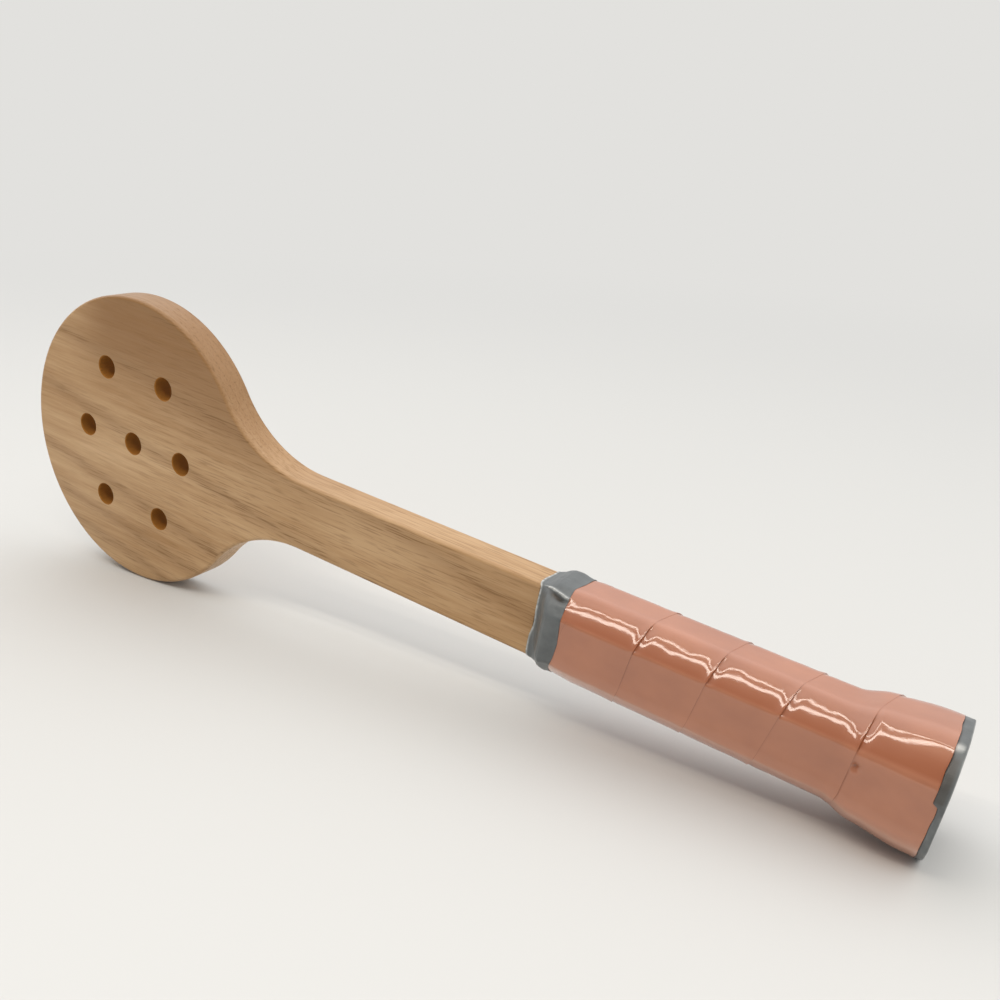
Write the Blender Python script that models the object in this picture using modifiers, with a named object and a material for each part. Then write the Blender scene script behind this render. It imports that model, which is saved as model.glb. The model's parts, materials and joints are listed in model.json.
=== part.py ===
"""A wooden padel racket: an oak board with a round head, and a wrapped grip built up on its tang.

The racket's own frame has its origin in the centre hole: +X runs along the racket to the butt,
+Z across the face, and the front face looks along -Y. An empty then leans that frame until
the racket stands on the lower rim of its head and of its butt. Lengths are in metres.
"""
import math

import bmesh
import bpy
from mathutils import Matrix, Vector

# The board
BOARD_THICKNESS = 0.0132
EDGE_RADIUS = 0.0010
HEAD_CENTRE_X = 0.0005
HEAD_HALF_LENGTH = 0.0587
HEAD_HALF_WIDTH = 0.0599
FILLET_RADIUS = 0.0495
NECK_X = 0.094
NECK_HALF_WIDTH = 0.0135
THROAT_END_HALF_WIDTH = 0.0138
HOLE_DIAMETER = 0.009
HOLE_AXIS_SPACING = 0.0269
HOLE_ROW_SPACING = 0.032
HOLE_ROW_OFFSET = 0.0282

# The tang and the wooden slabs on it
TANG_SHOULDER_X = 0.1897
TANG_END_X = 0.3184
TANG_HALF_WIDTH = 0.0136
TANG_HALF_THICKNESS = 0.006
TANG_EDGE_RADIUS = 0.0002
PALLET_START_X = 0.1915
PALLET_EASING = 0.0004

# The grip's section is an octagon with rounded corners
GRIP_HALF_WIDTH = 0.0166
GRIP_HALF_DEPTH = 0.0145
GRIP_BEVEL = 0.0083
GRIP_CORNER_RADIUS = 0.003
GRIP_START_X = 0.1985
GRIP_END_X = 0.3178
GRIP_THICKNESS = 0.0023
WRAP_PITCH = 0.0229
WRAP_SEAM_X = 0.2246
TAPER_START_TURN = 3.3
TAPER_RUN = 0.022
WRAP_GAP = 0.0006
WRAP_EDGE_DROP = 0.0007
WRAP_EDGE_SHARE = 0.06

# The butt: the grip climbs over the cap's skirt, then follows its flare
BUTT_END_X = 0.3214
CAP_SKIRT_X = 0.293
SKIRT_CLIMB = 0.0025
SKIRT_CLIMB_START_X = 0.290
SKIRT_CLIMB_END_X = 0.300
FLARE_CLIMB = 0.0016
FLARE_START_X = 0.299
FLARE_END_X = 0.315
CAP_LIP_HALF_WIDTH = 0.0199
CAP_LIP_EASING = 0.0003
CAP_END_WALL = 0.0024
DISC_INSET = 0.0062
DISC_THICKNESS = 0.0009
STAPLE_X = 0.301
STAPLE_CROWN = 0.010
STAPLE_LEG = 0.0055
STAPLE_WIRE = 0.0009

# The tapes
TAPE_THICKNESS = 0.0004
TAPE_START_X = 0.190
TAPE_FULL_X = 0.1965
TAPE_END_X = 0.2026
TAPE_SQUEEZE = 0.0004
TAPE_SQUEEZE_END_X = 0.207

GAP = 0.0003
ARC_STEPS = 2
TAN_HALF_BEVEL = math.tan(math.radians(22.5))

# The wood under the grip is the same octagon, this far inside the grip's surface
WOOD_INSET = GRIP_HALF_WIDTH - TANG_HALF_WIDTH
PALLET_HALF_DEPTH = GRIP_HALF_DEPTH - WOOD_INSET


def clear_scene():
    """Remove every object of the open file."""
    for obj in list(bpy.data.objects):
        bpy.data.objects.remove(obj, do_unlink=True)


def make_collection(name):
    """Return a new collection in the scene."""
    collection = bpy.data.collections.new(name)
    bpy.context.scene.collection.children.link(collection)
    return collection


def make_material(name, color, roughness, metallic=0.0):
    """Return a Principled material."""
    material = bpy.data.materials.new(name)
    material.use_nodes = True
    shader = material.node_tree.nodes["Principled BSDF"]
    shader.inputs["Base Color"].default_value = (*color, 1.0)
    shader.inputs["Roughness"].default_value = roughness
    shader.inputs["Metallic"].default_value = metallic
    material.diffuse_color = (*color, 1.0)
    return material


def oak():
    return make_material("oiled_oak", (0.42, 0.25, 0.13), 0.5)


def pallet_wood():
    return make_material("planed_lime_wood", (0.55, 0.40, 0.25), 0.6)


def grip_film():
    return make_material("glossy_polyurethane_film", (0.46, 0.22, 0.15), 0.15)


def grey_tape():
    return make_material("grey_pvc_tape", (0.14, 0.14, 0.13), 0.4)


def cap_plastic():
    return make_material("moulded_black_nylon", (0.02, 0.02, 0.02), 0.45)


def disc_plastic():
    return make_material("satin_grey_abs", (0.10, 0.10, 0.10), 0.35)


def staple_steel():
    return make_material("galvanised_steel_wire", (0.62, 0.62, 0.60), 0.35, 1.0)


def add_object(name, mesh, material, collection, parent):
    """Put a mesh into the model under the given node name."""
    obj = bpy.data.objects.new(name, mesh)
    collection.objects.link(obj)
    obj.parent = parent
    if material:
        mesh.materials.clear()
        mesh.materials.append(material)
    return obj


def add_cutter(name, mesh, collection, parent):
    """Put a mesh among the cutters."""
    obj = add_object(name, mesh, None, collection, parent)
    obj.hide_render = True
    obj.display_type = "WIRE"
    return obj


def cut(obj, cutter):
    """Take the cutter's shape out of an object."""
    modifier = obj.modifiers.new("cut_" + cutter.name, "BOOLEAN")
    modifier.operation = "DIFFERENCE"
    modifier.object = cutter
    modifier.solver = "EXACT"


def finish_bmesh(bm, name):
    """Turn a bmesh into a mesh whose faces point out."""
    bmesh.ops.recalc_face_normals(bm, faces=bm.faces)
    if bm.calc_volume(signed=True) < 0:
        bmesh.ops.reverse_faces(bm, faces=bm.faces)
    mesh = bpy.data.meshes.new(name)
    bm.to_mesh(mesh)
    bm.free()
    return mesh


def curve_to_mesh(curve, name):
    """Turn a curve into one closed mesh and remove the curve."""
    obj = bpy.data.objects.new(name + "_curve", curve)
    bpy.context.scene.collection.objects.link(obj)
    depsgraph = bpy.context.evaluated_depsgraph_get()
    mesh = bpy.data.meshes.new_from_object(obj.evaluated_get(depsgraph))
    bpy.data.objects.remove(obj, do_unlink=True)
    bm = bmesh.new()
    bm.from_mesh(mesh)
    bmesh.ops.remove_doubles(bm, verts=bm.verts, dist=0.00001)
    bpy.data.meshes.remove(mesh)
    return finish_bmesh(bm, name)


def throat_half_width(x):
    """Half the throat's width: it widens a little towards the grip."""
    share = (x - NECK_X) / (TANG_SHOULDER_X - NECK_X)
    return NECK_HALF_WIDTH + (THROAT_END_HALF_WIDTH - NECK_HALF_WIDTH) * share


def head_rim(angle):
    """A point on the head's rim, with the angle counted from the butt's side."""
    x = HEAD_CENTRE_X + HEAD_HALF_LENGTH * math.cos(angle)
    return Vector((x, HEAD_HALF_WIDTH * math.sin(angle)))


def fillet_gap(centre_x):
    """How far the head's rim stays from a fillet circle on the throat's line, and the nearest angle."""
    centre = Vector((centre_x, throat_half_width(centre_x) + FILLET_RADIUS))
    steps_per_degree = 8
    angles = [math.radians(step / steps_per_degree) for step in range(90 * steps_per_degree)]
    nearest = min(angles, key=lambda angle: (head_rim(angle) - centre).length)
    return (head_rim(nearest) - centre).length - FILLET_RADIUS, nearest, centre


def fillet():
    """Centre of the fillet that touches both the rim and the throat, and the rim's angle there."""
    low = HEAD_CENTRE_X + HEAD_HALF_LENGTH
    high = low + FILLET_RADIUS
    for _ in range(30):
        middle = (low + high) / 2
        if fillet_gap(middle)[0] < 0:
            low = middle
        else:
            high = middle
    _, angle, centre = fillet_gap(high)
    return centre, angle


def board_outline():
    """The board's outline, from the tip over the upper side to the tang's end and back."""
    centre, rim_angle = fillet()
    rim_steps = 40
    rim_sweep = math.pi - rim_angle
    upper = [head_rim(math.pi - rim_sweep * step / rim_steps) for step in range(rim_steps + 1)]
    touch = upper[-1] - centre
    start = math.atan2(touch.y, touch.x) % (2 * math.pi)
    end = 1.5 * math.pi
    fillet_steps = 12
    for step in range(1, fillet_steps + 1):
        angle = start + (end - start) * step / fillet_steps
        upper.append(centre + FILLET_RADIUS * Vector((math.cos(angle), math.sin(angle))))
    upper.append(Vector((TANG_SHOULDER_X, THROAT_END_HALF_WIDTH)))
    upper.append(Vector((TANG_END_X, THROAT_END_HALF_WIDTH)))
    lower = [Vector((point.x, -point.y)) for point in reversed(upper[1:])]
    return upper + lower


def board_mesh():
    """The board as a flat outline with its thickness and rounded edges."""
    curve = bpy.data.curves.new("board", "CURVE")
    curve.dimensions = "2D"
    curve.fill_mode = "BOTH"
    curve.extrude = BOARD_THICKNESS / 2 - EDGE_RADIUS
    curve.bevel_depth = EDGE_RADIUS
    curve.bevel_resolution = 1
    curve.offset = -EDGE_RADIUS
    outline = board_outline()
    spline = curve.splines.new("POLY")
    spline.points.add(len(outline) - 1)
    for point, place in zip(spline.points, outline):
        point.co = (place.x, place.y, 0.0, 1.0)
    spline.use_cyclic_u = True
    mesh = curve_to_mesh(curve, "blade")
    mesh.transform(Matrix.Rotation(math.radians(90), 4, "X"))
    return mesh


def hole_centres():
    """The seven holes: one in the middle and six round it."""
    half_row = HOLE_ROW_SPACING / 2
    centres = [(0.0, 0.0), (-HOLE_AXIS_SPACING, 0.0), (HOLE_AXIS_SPACING, 0.0)]
    for x in (-half_row, half_row):
        for z in (-HOLE_ROW_OFFSET, HOLE_ROW_OFFSET):
            centres.append((x, z))
    return centres


def hole_cutters(cutters, parent):
    """One drill for each hole of the head."""
    objects = []
    for number, (x, z) in enumerate(hole_centres(), 1):
        bm = bmesh.new()
        place = Matrix.Translation((x, 0, z)) @ Matrix.Rotation(math.radians(90), 4, "X")
        bmesh.ops.create_cone(
            bm, cap_ends=True, segments=32, radius1=HOLE_DIAMETER / 2, radius2=HOLE_DIAMETER / 2,
            depth=2 * BOARD_THICKNESS, matrix=place)
        mesh = finish_bmesh(bm, f"hole_{number}")
        objects.append(add_cutter(f"hole_{number}", mesh, cutters, parent))
    return objects


def section(half_width, half_depth, bevel, radius):
    """A section's corners as (depth, across, normal angle), in one turn from the front over the top.

    A bevel of zero gives a rectangle with rounded corners. Each point is the centre of its
    corner's arc, so adding the radius along the normal gives the surface.
    """
    corners = []
    if bevel > 0:
        reach = radius * TAN_HALF_BEVEL
        first = (half_depth - radius, half_width - bevel - reach)
        second = (half_depth - bevel - reach, half_width - radius)
        for centre, start in ((first, 0), (second, 45)):
            for step in range(ARC_STEPS + 1):
                corners.append((*centre, math.radians(start + 45 * step / ARC_STEPS)))
    else:
        centre = (half_depth - radius, half_width - radius)
        count = 2 * ARC_STEPS + 2
        for step in range(count):
            corners.append((*centre, math.radians(90 * step / (count - 1))))
    points = []
    for depth_sign, across_sign in ((1, 1), (-1, 1), (-1, -1), (1, -1)):
        quarter = corners if depth_sign == across_sign else corners[::-1]
        for depth, across, angle in quarter:
            normal = (depth_sign * math.cos(angle), across_sign * math.sin(angle))
            points.append((depth_sign * depth, across_sign * across, normal))
    return points, radius


def ring(shape, x, offset=0.0):
    """The section's points at a place along the racket, moved out by an offset."""
    points, radius = shape
    out = radius + offset
    return [Vector((x, -(d + n[0] * out), a + n[1] * out)) for d, a, n in points]


GRIP = section(GRIP_HALF_WIDTH, GRIP_HALF_DEPTH, GRIP_BEVEL, GRIP_CORNER_RADIUS)
THROAT = section(TANG_HALF_WIDTH, TANG_HALF_THICKNESS, 0.0, EDGE_RADIUS)
DISC = section(
    GRIP_HALF_WIDTH - DISC_INSET, GRIP_HALF_DEPTH - DISC_INSET,
    GRIP_BEVEL - DISC_INSET * (2 - math.sqrt(2)), EDGE_RADIUS)


def loft(name, rings, closed=False):
    """Skin a row of rings. An open row is capped, and a closed one joins its last ring to its first."""
    bm = bmesh.new()
    loops = [[bm.verts.new(point) for point in points] for points in rings]
    pairs = list(zip(loops, loops[1:]))
    if closed:
        pairs.append((loops[-1], loops[0]))
    else:
        bm.faces.new(loops[0])
        bm.faces.new(loops[-1])
    for one, two in pairs:
        for here in range(len(one)):
            there = (here + 1) % len(one)
            bm.faces.new((one[here], one[there], two[there], two[here]))
    return finish_bmesh(bm, name)


def bevel_half_width(depth):
    """Half the wood's width on its bevel, at a depth from the middle plane."""
    return GRIP_HALF_WIDTH + GRIP_HALF_DEPTH - GRIP_BEVEL - WOOD_INSET * math.sqrt(2) - depth


def tang_cutter(cutters, parent):
    """A block round the tang that planes it down to the handle's octagon from its shoulder on."""
    bevel = TANG_HALF_WIDTH - bevel_half_width(TANG_HALF_THICKNESS)
    tang = section(TANG_HALF_WIDTH, TANG_HALF_THICKNESS, bevel, TANG_EDGE_RADIUS)
    far = THROAT_END_HALF_WIDTH
    end = TANG_END_X + far
    rings = [ring(tang, TANG_SHOULDER_X), ring(tang, end),
             ring(GRIP, end, far), ring(GRIP, TANG_SHOULDER_X, far)]
    return add_cutter("tang_plane", loft("tang_plane", rings, closed=True), cutters, parent)


def make_blade(model, cutters, parent):
    """The oak board: head, throat and tang in one piece."""
    blade = add_object("blade", board_mesh(), oak(), model, parent)
    for cutter in [tang_cutter(cutters, parent)] + hole_cutters(cutters, parent):
        cut(blade, cutter)
    return blade


def smooth_step(value, start, end):
    """A soft step from 0 to 1 between two values."""
    share = min(max((value - start) / (end - start), 0.0), 1.0)
    return share * share * (3 - 2 * share)


def grip_swell(x):
    """How far the grip's surface stands off its plain octagon at a place along the handle."""
    skirt = SKIRT_CLIMB * smooth_step(x, SKIRT_CLIMB_START_X, SKIRT_CLIMB_END_X)
    flare = FLARE_CLIMB * smooth_step(x, FLARE_START_X, FLARE_END_X)
    squeeze = TAPE_SQUEEZE * smooth_step(x, TAPE_SQUEEZE_END_X, TAPE_END_X)
    return skirt + flare - squeeze


def make_pallet(name, side, model, parent):
    """A wooden slab with bevelled edges and a slanted front end, glued to one face of the tang."""
    inner = TANG_HALF_THICKNESS + GAP
    bm = bmesh.new()
    bmesh.ops.create_cube(bm, size=1.0)
    for vert in bm.verts:
        depth = PALLET_HALF_DEPTH if vert.co.y > 0 else inner
        start = PALLET_START_X + depth - inner
        across = math.copysign(bevel_half_width(depth), vert.co.z)
        vert.co = (start if vert.co.x < 0 else TANG_END_X, side * depth, across)
    pallet = add_object(name, finish_bmesh(bm, name), pallet_wood(), model, parent)
    bevel = pallet.modifiers.new("eased_edges", "BEVEL")
    bevel.width = PALLET_EASING
    bevel.segments = 1
    return pallet


def seam_x(turns):
    """Where the seam lies, counted in turns from the front. The strip's tapered start speeds it up."""
    return WRAP_SEAM_X + WRAP_PITCH * turns + TAPER_RUN * max(0.0, turns - TAPER_START_TURN)


def strip_section():
    """The strip's section as (share of its width, drop) outside, and shares of its width inside."""
    edge = (0.0, WRAP_EDGE_SHARE / 4, WRAP_EDGE_SHARE)
    middle = [step / 6 for step in range(1, 6)]
    outer = []
    for share in [*edge, *middle, *(1 - share for share in reversed(edge))]:
        rise = min(share, 1 - share) / WRAP_EDGE_SHARE
        drop = WRAP_EDGE_DROP * max(0.0, 1 - rise) ** 2
        outer.append((share, drop))
    inner = [1 - step / 6 for step in range(7)]
    return outer, inner


def turn_shares(shape):
    """For each point of a section, the share of a turn that it lies from the front's middle."""
    places = [Vector((p.y, p.z)) for p in ring(shape, 0.0)]
    steps = [(b - a).length for a, b in zip(places, places[1:] + places[:1])]
    perimeter = sum(steps)
    walked = places[0].y
    shares = []
    for step in steps:
        shares.append(walked / perimeter)
        walked += step
    return shares


def clip(bm, x, side):
    """Cut a bmesh off at a plane across the racket and close the cut."""
    geometry = bm.verts[:] + bm.edges[:] + bm.faces[:]
    result = bmesh.ops.bisect_plane(
        bm, geom=geometry, dist=0.000001, plane_co=(x, 0, 0), plane_no=(side, 0, 0), clear_outer=True)
    edges = [item for item in result["geom_cut"] if isinstance(item, bmesh.types.BMEdge)]
    bmesh.ops.holes_fill(bm, edges=edges, sides=0)


def least_turn_gap(rows, rows_per_turn, last_outer):
    """The least distance between one turn's end edge and the next turn's start edge."""
    pairs = zip(rows, rows[rows_per_turn:])
    return min((Vector(one[last_outer]) - Vector(two[0])).length for one, two in pairs)


def make_grip_band(model, parent):
    """The grip: one strip wound round the handle, cut off square at both ends."""
    points, radius = GRIP
    outer, inner = strip_section()
    shares = turn_shares(GRIP)
    first_turn = math.floor((GRIP_START_X - WRAP_SEAM_X) / WRAP_PITCH) - 1
    last_turn = math.floor((GRIP_END_X - WRAP_SEAM_X) / WRAP_PITCH)
    rows = []
    for turn in range(first_turn, last_turn + 1):
        for share, (depth, across, normal) in zip(shares, points):
            start = seam_x(turn + share) + WRAP_GAP / 2
            width = seam_x(turn + share + 1) - WRAP_GAP / 2 - start
            row = []
            for place, drop in outer + [(place, GRIP_THICKNESS) for place in inner]:
                x = start + place * width
                out = radius + grip_swell(x) - drop
                row.append((x, -(depth + normal[0] * out), across + normal[1] * out))
            rows.append(row)
    bm = bmesh.new()
    loops = [[bm.verts.new(point) for point in row] for row in rows]
    for one, two in zip(loops, loops[1:]):
        for here in range(len(one)):
            there = (here + 1) % len(one)
            bm.faces.new((one[here], one[there], two[there], two[here]))
    bm.faces.new(loops[0])
    bm.faces.new(loops[-1])
    bmesh.ops.recalc_face_normals(bm, faces=bm.faces)
    clip(bm, GRIP_START_X, -1)
    clip(bm, GRIP_END_X, 1)
    gap = least_turn_gap(rows, len(points), len(outer) - 1)
    print("grip strip: least gap between turns, mm:", round(gap * 1000, 2))
    return add_object("grip_band", finish_bmesh(bm, "grip_band"), grip_film(), model, parent)


def skirt_offset(x):
    """The cap's outer surface, as an offset from the grip's octagon, clear of the strip's facets."""
    return grip_swell(x) - GRIP_THICKNESS - 2 * GAP


def make_butt_cap(model, parent):
    """The flared cap: a skirt over the wood's end, a lip at the rim and a closed end."""
    bore = TANG_HALF_WIDTH + GAP - GRIP_HALF_WIDTH
    lip = CAP_LIP_HALF_WIDTH - GRIP_HALF_WIDTH
    lip_start = GRIP_END_X + GAP
    floor = BUTT_END_X - CAP_END_WALL
    recess = DISC_THICKNESS + GAP
    rings = [ring(GRIP, floor, bore), ring(GRIP, CAP_SKIRT_X, bore)]
    stations = 12
    for step in range(stations + 1):
        x = CAP_SKIRT_X + (lip_start - CAP_SKIRT_X) * step / stations
        rings.append(ring(GRIP, x, max(skirt_offset(x), bore + GAP)))
    rings += [
        ring(GRIP, lip_start, lip),
        ring(GRIP, BUTT_END_X - CAP_LIP_EASING, lip),
        ring(GRIP, BUTT_END_X, lip - CAP_LIP_EASING),
        ring(DISC, BUTT_END_X, GAP),
        ring(DISC, BUTT_END_X - recess, GAP),
    ]
    return add_object("butt_cap", loft("butt_cap", rings), cap_plastic(), model, parent)


def make_cap_disc(model, parent):
    """The bare disc in the cap's end."""
    floor = BUTT_END_X - DISC_THICKNESS
    rings = [ring(DISC, floor), ring(DISC, BUTT_END_X)]
    return add_object("butt_cap_disc", loft("butt_cap_disc", rings), disc_plastic(), model, parent)


def staple_mesh(name, wire_radius, side):
    """One staple: a crown across the cap's skirt and two legs into the wood."""
    surface = GRIP_HALF_DEPTH + skirt_offset(STAPLE_X)
    crown = side * (surface - STAPLE_WIRE)
    tip = crown - side * STAPLE_LEG
    half = STAPLE_CROWN / 2
    route = ((tip, -half), (crown, -half), (crown, half), (tip, half))
    curve = bpy.data.curves.new(name, "CURVE")
    curve.dimensions = "3D"
    curve.bevel_depth = wire_radius
    curve.bevel_resolution = 1
    curve.use_fill_caps = True
    spline = curve.splines.new("POLY")
    spline.points.add(len(route) - 1)
    for point, (y, z) in zip(spline.points, route):
        point.co = (STAPLE_X, y, z, 1.0)
    return curve_to_mesh(curve, name)


def make_staple(label, side, model, cutters, parent, parts):
    """A staple that holds the cap, let into the cap and a pallet."""
    name = f"{label}_cap_staple"
    room = staple_mesh(name + "_room", STAPLE_WIRE / 2 + GAP, side)
    cutter = add_cutter(name + "_room", room, cutters, parent)
    for part in parts:
        cut(part, cutter)
    return add_object(name, staple_mesh(name, STAPLE_WIRE / 2, side), staple_steel(), model, parent)


def blend_ring(x, share, offset):
    """A ring between the throat's section and the grip's, moved out by an offset."""
    throat = ring(THROAT, x, offset)
    grip = ring(GRIP, x, offset)
    return [a.lerp(b, share) for a, b in zip(throat, grip)]


def make_finishing_tape(model, parent):
    """The tape collar that closes the grip's top end, from the wood up over the strip."""
    reach = TAPE_END_X - TAPE_START_X
    stations = 10
    inner = []
    outer = []
    for step in range(stations + 1):
        x = TAPE_START_X + reach * step / stations
        share = smooth_step(x, TAPE_START_X, TAPE_FULL_X)
        lift = GAP - TAPE_SQUEEZE * smooth_step(x, TAPE_FULL_X, TAPE_END_X)
        inner.append(blend_ring(x, share, lift))
        outer.append(blend_ring(x, share, lift + TAPE_THICKNESS))
    mesh = loft("finishing_tape", inner + outer[::-1], closed=True)
    return add_object("finishing_tape", mesh, grey_tape(), model, parent)


def make_butt_trim_tape(model, parent):
    """The tape round the cap's lip."""
    inside = CAP_LIP_HALF_WIDTH - GRIP_HALF_WIDTH + GAP
    outside = inside + TAPE_THICKNESS
    start = GRIP_END_X + GAP
    rings = [
        ring(GRIP, start, inside),
        ring(GRIP, BUTT_END_X, inside),
        ring(GRIP, BUTT_END_X, outside - GAP),
        ring(GRIP, BUTT_END_X - GAP, outside),
        ring(GRIP, start, outside),
    ]
    mesh = loft("butt_trim_tape", rings, closed=True)
    return add_object("butt_trim_tape", mesh, grey_tape(), model, parent)


def resting_tilt():
    """The lean at which the head's rim and the butt's rim touch one level surface."""
    butt_half_width = CAP_LIP_HALF_WIDTH + GAP + TAPE_THICKNESS
    low = 0.0
    high = math.radians(20)
    for _ in range(40):
        tilt = (low + high) / 2
        sine = math.sin(tilt)
        cosine = math.cos(tilt)
        head = HEAD_CENTRE_X * sine + math.hypot(HEAD_HALF_LENGTH * sine, HEAD_HALF_WIDTH * cosine)
        butt = (BUTT_END_X - GAP) * sine + butt_half_width * cosine
        if head > butt:
            low = tilt
        else:
            high = tilt
    return tilt


def stand_model(stand, model):
    """Lean the racket and put the origin under the middle of its box."""
    stand.rotation_euler = (0.0, resting_tilt(), 0.0)
    bpy.context.view_layer.update()
    depsgraph = bpy.context.evaluated_depsgraph_get()
    corners = []
    for obj in model.objects:
        if obj.type == "MESH":
            shown = obj.evaluated_get(depsgraph)
            corners += [shown.matrix_world @ vert.co for vert in shown.data.vertices]
    lows = [min(corner[axis] for corner in corners) for axis in range(3)]
    highs = [max(corner[axis] for corner in corners) for axis in range(3)]
    stand.location = (-(lows[0] + highs[0]) / 2, -(lows[1] + highs[1]) / 2, -lows[2])
    bpy.context.view_layer.update()


def main():
    """Build the racket."""
    clear_scene()
    model = make_collection("padel_racket")
    cutters = make_collection("cutters")
    stand = bpy.data.objects.new("stand_on_edge", None)
    model.objects.link(stand)
    make_blade(model, cutters, stand)
    front = make_pallet("front_handle_pallet", -1, model, stand)
    rear = make_pallet("rear_handle_pallet", 1, model, stand)
    cap = make_butt_cap(model, stand)
    make_cap_disc(model, stand)
    make_staple("front", -1, model, cutters, stand, (cap, front))
    make_staple("rear", 1, model, cutters, stand, (cap, rear))
    make_grip_band(model, stand)
    make_finishing_tape(model, stand)
    make_butt_trim_tape(model, stand)
    stand_model(stand, model)


main()
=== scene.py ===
"""A short wooden racket with a drilled round head and a wound grip, standing on edge on a pale sweep.

Each sub-assembly is modelled in the racket's own frame: the origin in the middle hole, +X along
the racket to the butt, +Z across the face, the front face towards -Y, in metres. The record's
mounts say how that frame leans in the row's frame, and each finished mesh is leaned that way.
"""
import json
import logging
import math
from dataclasses import dataclass, field
from enum import Enum
from functools import partial
from typing import Callable

import bmesh
import bpy
import numpy as np
from bpy.types import Material, NodeSocket, NodeTree, Object
from mathutils import Euler, Matrix, Vector, noise
from mathutils.kdtree import KDTree


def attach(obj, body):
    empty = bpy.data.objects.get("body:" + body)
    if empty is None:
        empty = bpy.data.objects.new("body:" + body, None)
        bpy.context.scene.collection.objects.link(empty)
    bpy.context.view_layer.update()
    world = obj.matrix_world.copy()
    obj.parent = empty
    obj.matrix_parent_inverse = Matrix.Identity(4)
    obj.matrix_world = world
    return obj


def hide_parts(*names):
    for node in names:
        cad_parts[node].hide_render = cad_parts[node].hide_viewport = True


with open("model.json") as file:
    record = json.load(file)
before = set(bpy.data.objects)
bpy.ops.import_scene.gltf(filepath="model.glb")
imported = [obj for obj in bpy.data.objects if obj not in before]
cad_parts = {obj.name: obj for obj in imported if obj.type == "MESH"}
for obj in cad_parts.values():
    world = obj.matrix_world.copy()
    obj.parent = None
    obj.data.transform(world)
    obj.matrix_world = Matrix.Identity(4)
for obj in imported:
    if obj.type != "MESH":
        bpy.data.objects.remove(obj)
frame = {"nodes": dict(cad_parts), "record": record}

MM = 0.001
WELD = 0.002 * MM
Colour = tuple[float, float, float, float]
AddNode = Callable[..., NodeSocket]
log = logging.getLogger("racket")


class Slot(Enum):
    """The record's material slots for the new pieces; they are passed along, but no piece is given
    one.
    """

    OAK = "oak"
    GRIP_FILM = "grip_film"
    GREY_TAPE = "grey_tape"


# Helpers


def linear(tone: str | float | Colour) -> Colour:
    """Turn an sRGB hex colour into a linear one.

    Args:
        tone: Six hex digits, or a linear grey level, or a linear colour, which stays as it is.

    Returns:
        Linear red, green, blue and an alpha of one.
    """
    if isinstance(tone, tuple):
        return tone
    if isinstance(tone, float):
        return tone, tone, tone, 1.0
    channels = [int(tone[start:start + 2], 16) / 255 for start in (0, 2, 4)]
    red, green, blue = (channel / 12.92 if channel <= 0.04045
                        else ((channel + 0.055) / 1.055) ** 2.4 for channel in channels)
    return red, green, blue, 1.0


def add_node(tree: NodeTree, kind: str, inputs: dict | None = None, output: int | str = 0,
             stops: tuple = (), **settings: object) -> NodeSocket | None:
    """Add a node with its settings, its values and its links.

    Args:
        tree: The node tree.
        kind: The node's type, without its ShaderNode prefix.
        inputs: Socket name or number to a value, a hex colour or an output socket to link from.
        output: The output socket to give back.
        stops: A ramp's places from 0 to 1, each with its colour or grey level.
        **settings: The node's own properties.

    Returns:
        The asked output socket, or None on a node that has no outputs.
    """
    node = tree.nodes.new("ShaderNode" + kind)
    for name, value in settings.items():
        setattr(node, name, value)
    for key, value in (inputs or {}).items():
        if isinstance(value, NodeSocket):
            tree.links.new(value, node.inputs[key])
        else:
            node.inputs[key].default_value = linear(value) if isinstance(value, str) else value
    for number, (place, tone) in enumerate(stops):
        elements = node.color_ramp.elements
        element = elements[number] if number < len(elements) else elements.new(place)
        element.position = place
        element.color = linear(tone)
    return node.outputs[output] if len(node.outputs) else None


def take_up(obj: Object) -> None:
    """Deselect everything, then select one object alone and make it active.

    Args:
        obj: The object.
    """
    bpy.ops.object.select_all(action="DESELECT")
    obj.select_set(True)
    bpy.context.view_layer.objects.active = obj


def shade_smooth(obj: Object, degrees: float) -> None:
    """Shade an object smooth, apart from the edges that are sharper than an angle."""
    take_up(obj)
    bpy.ops.object.shade_smooth_by_angle(angle=math.radians(degrees))


def pick(obj: Object, kind: str, test: Callable[[object], bool]) -> None:
    """In edit mode, select only the elements that pass a test.

    Args:
        obj: The object in edit mode.
        kind: "verts", "edges" or "faces".
        test: Says whether an element is wanted.
    """
    mode = {"verts": "VERT", "edges": "EDGE", "faces": "FACE"}[kind]
    bpy.ops.mesh.select_mode(type=mode)
    bpy.ops.mesh.select_all(action="DESELECT")
    mesh = bmesh.from_edit_mesh(obj.data)
    for item in getattr(mesh, kind):
        if test(item):
            item.select_set(True)
    mesh.select_flush_mode()
    bmesh.update_edit_mesh(obj.data)


def smooth(value: np.ndarray | float, start: float, end: float) -> np.ndarray:
    """A soft step from 0 to 1 between two values."""
    share = np.clip((np.asarray(value, float) - start) / (end - start), 0.0, 1.0)
    return share * share * (3 - 2 * share)


def bump_at(value: np.ndarray, centre: float, width: float) -> np.ndarray:
    """A soft bump of height one round a value."""
    return np.exp(-((value - centre) / width) ** 2)


def ripple(places: np.ndarray, size: float, seed: float) -> np.ndarray:
    """Smooth noise from -1 to 1 at an array of points.

    Args:
        places: The points, three numbers each, in metres.
        size: The size of one ripple in metres.
        seed: Shifts the noise, so that two ripples differ.

    Returns:
        One value for each point.
    """
    flat = places.reshape(-1, 3) / size + seed
    values = [noise.noise(Vector(point)) for point in flat]
    return np.array(values).reshape(places.shape[:-1])


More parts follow.
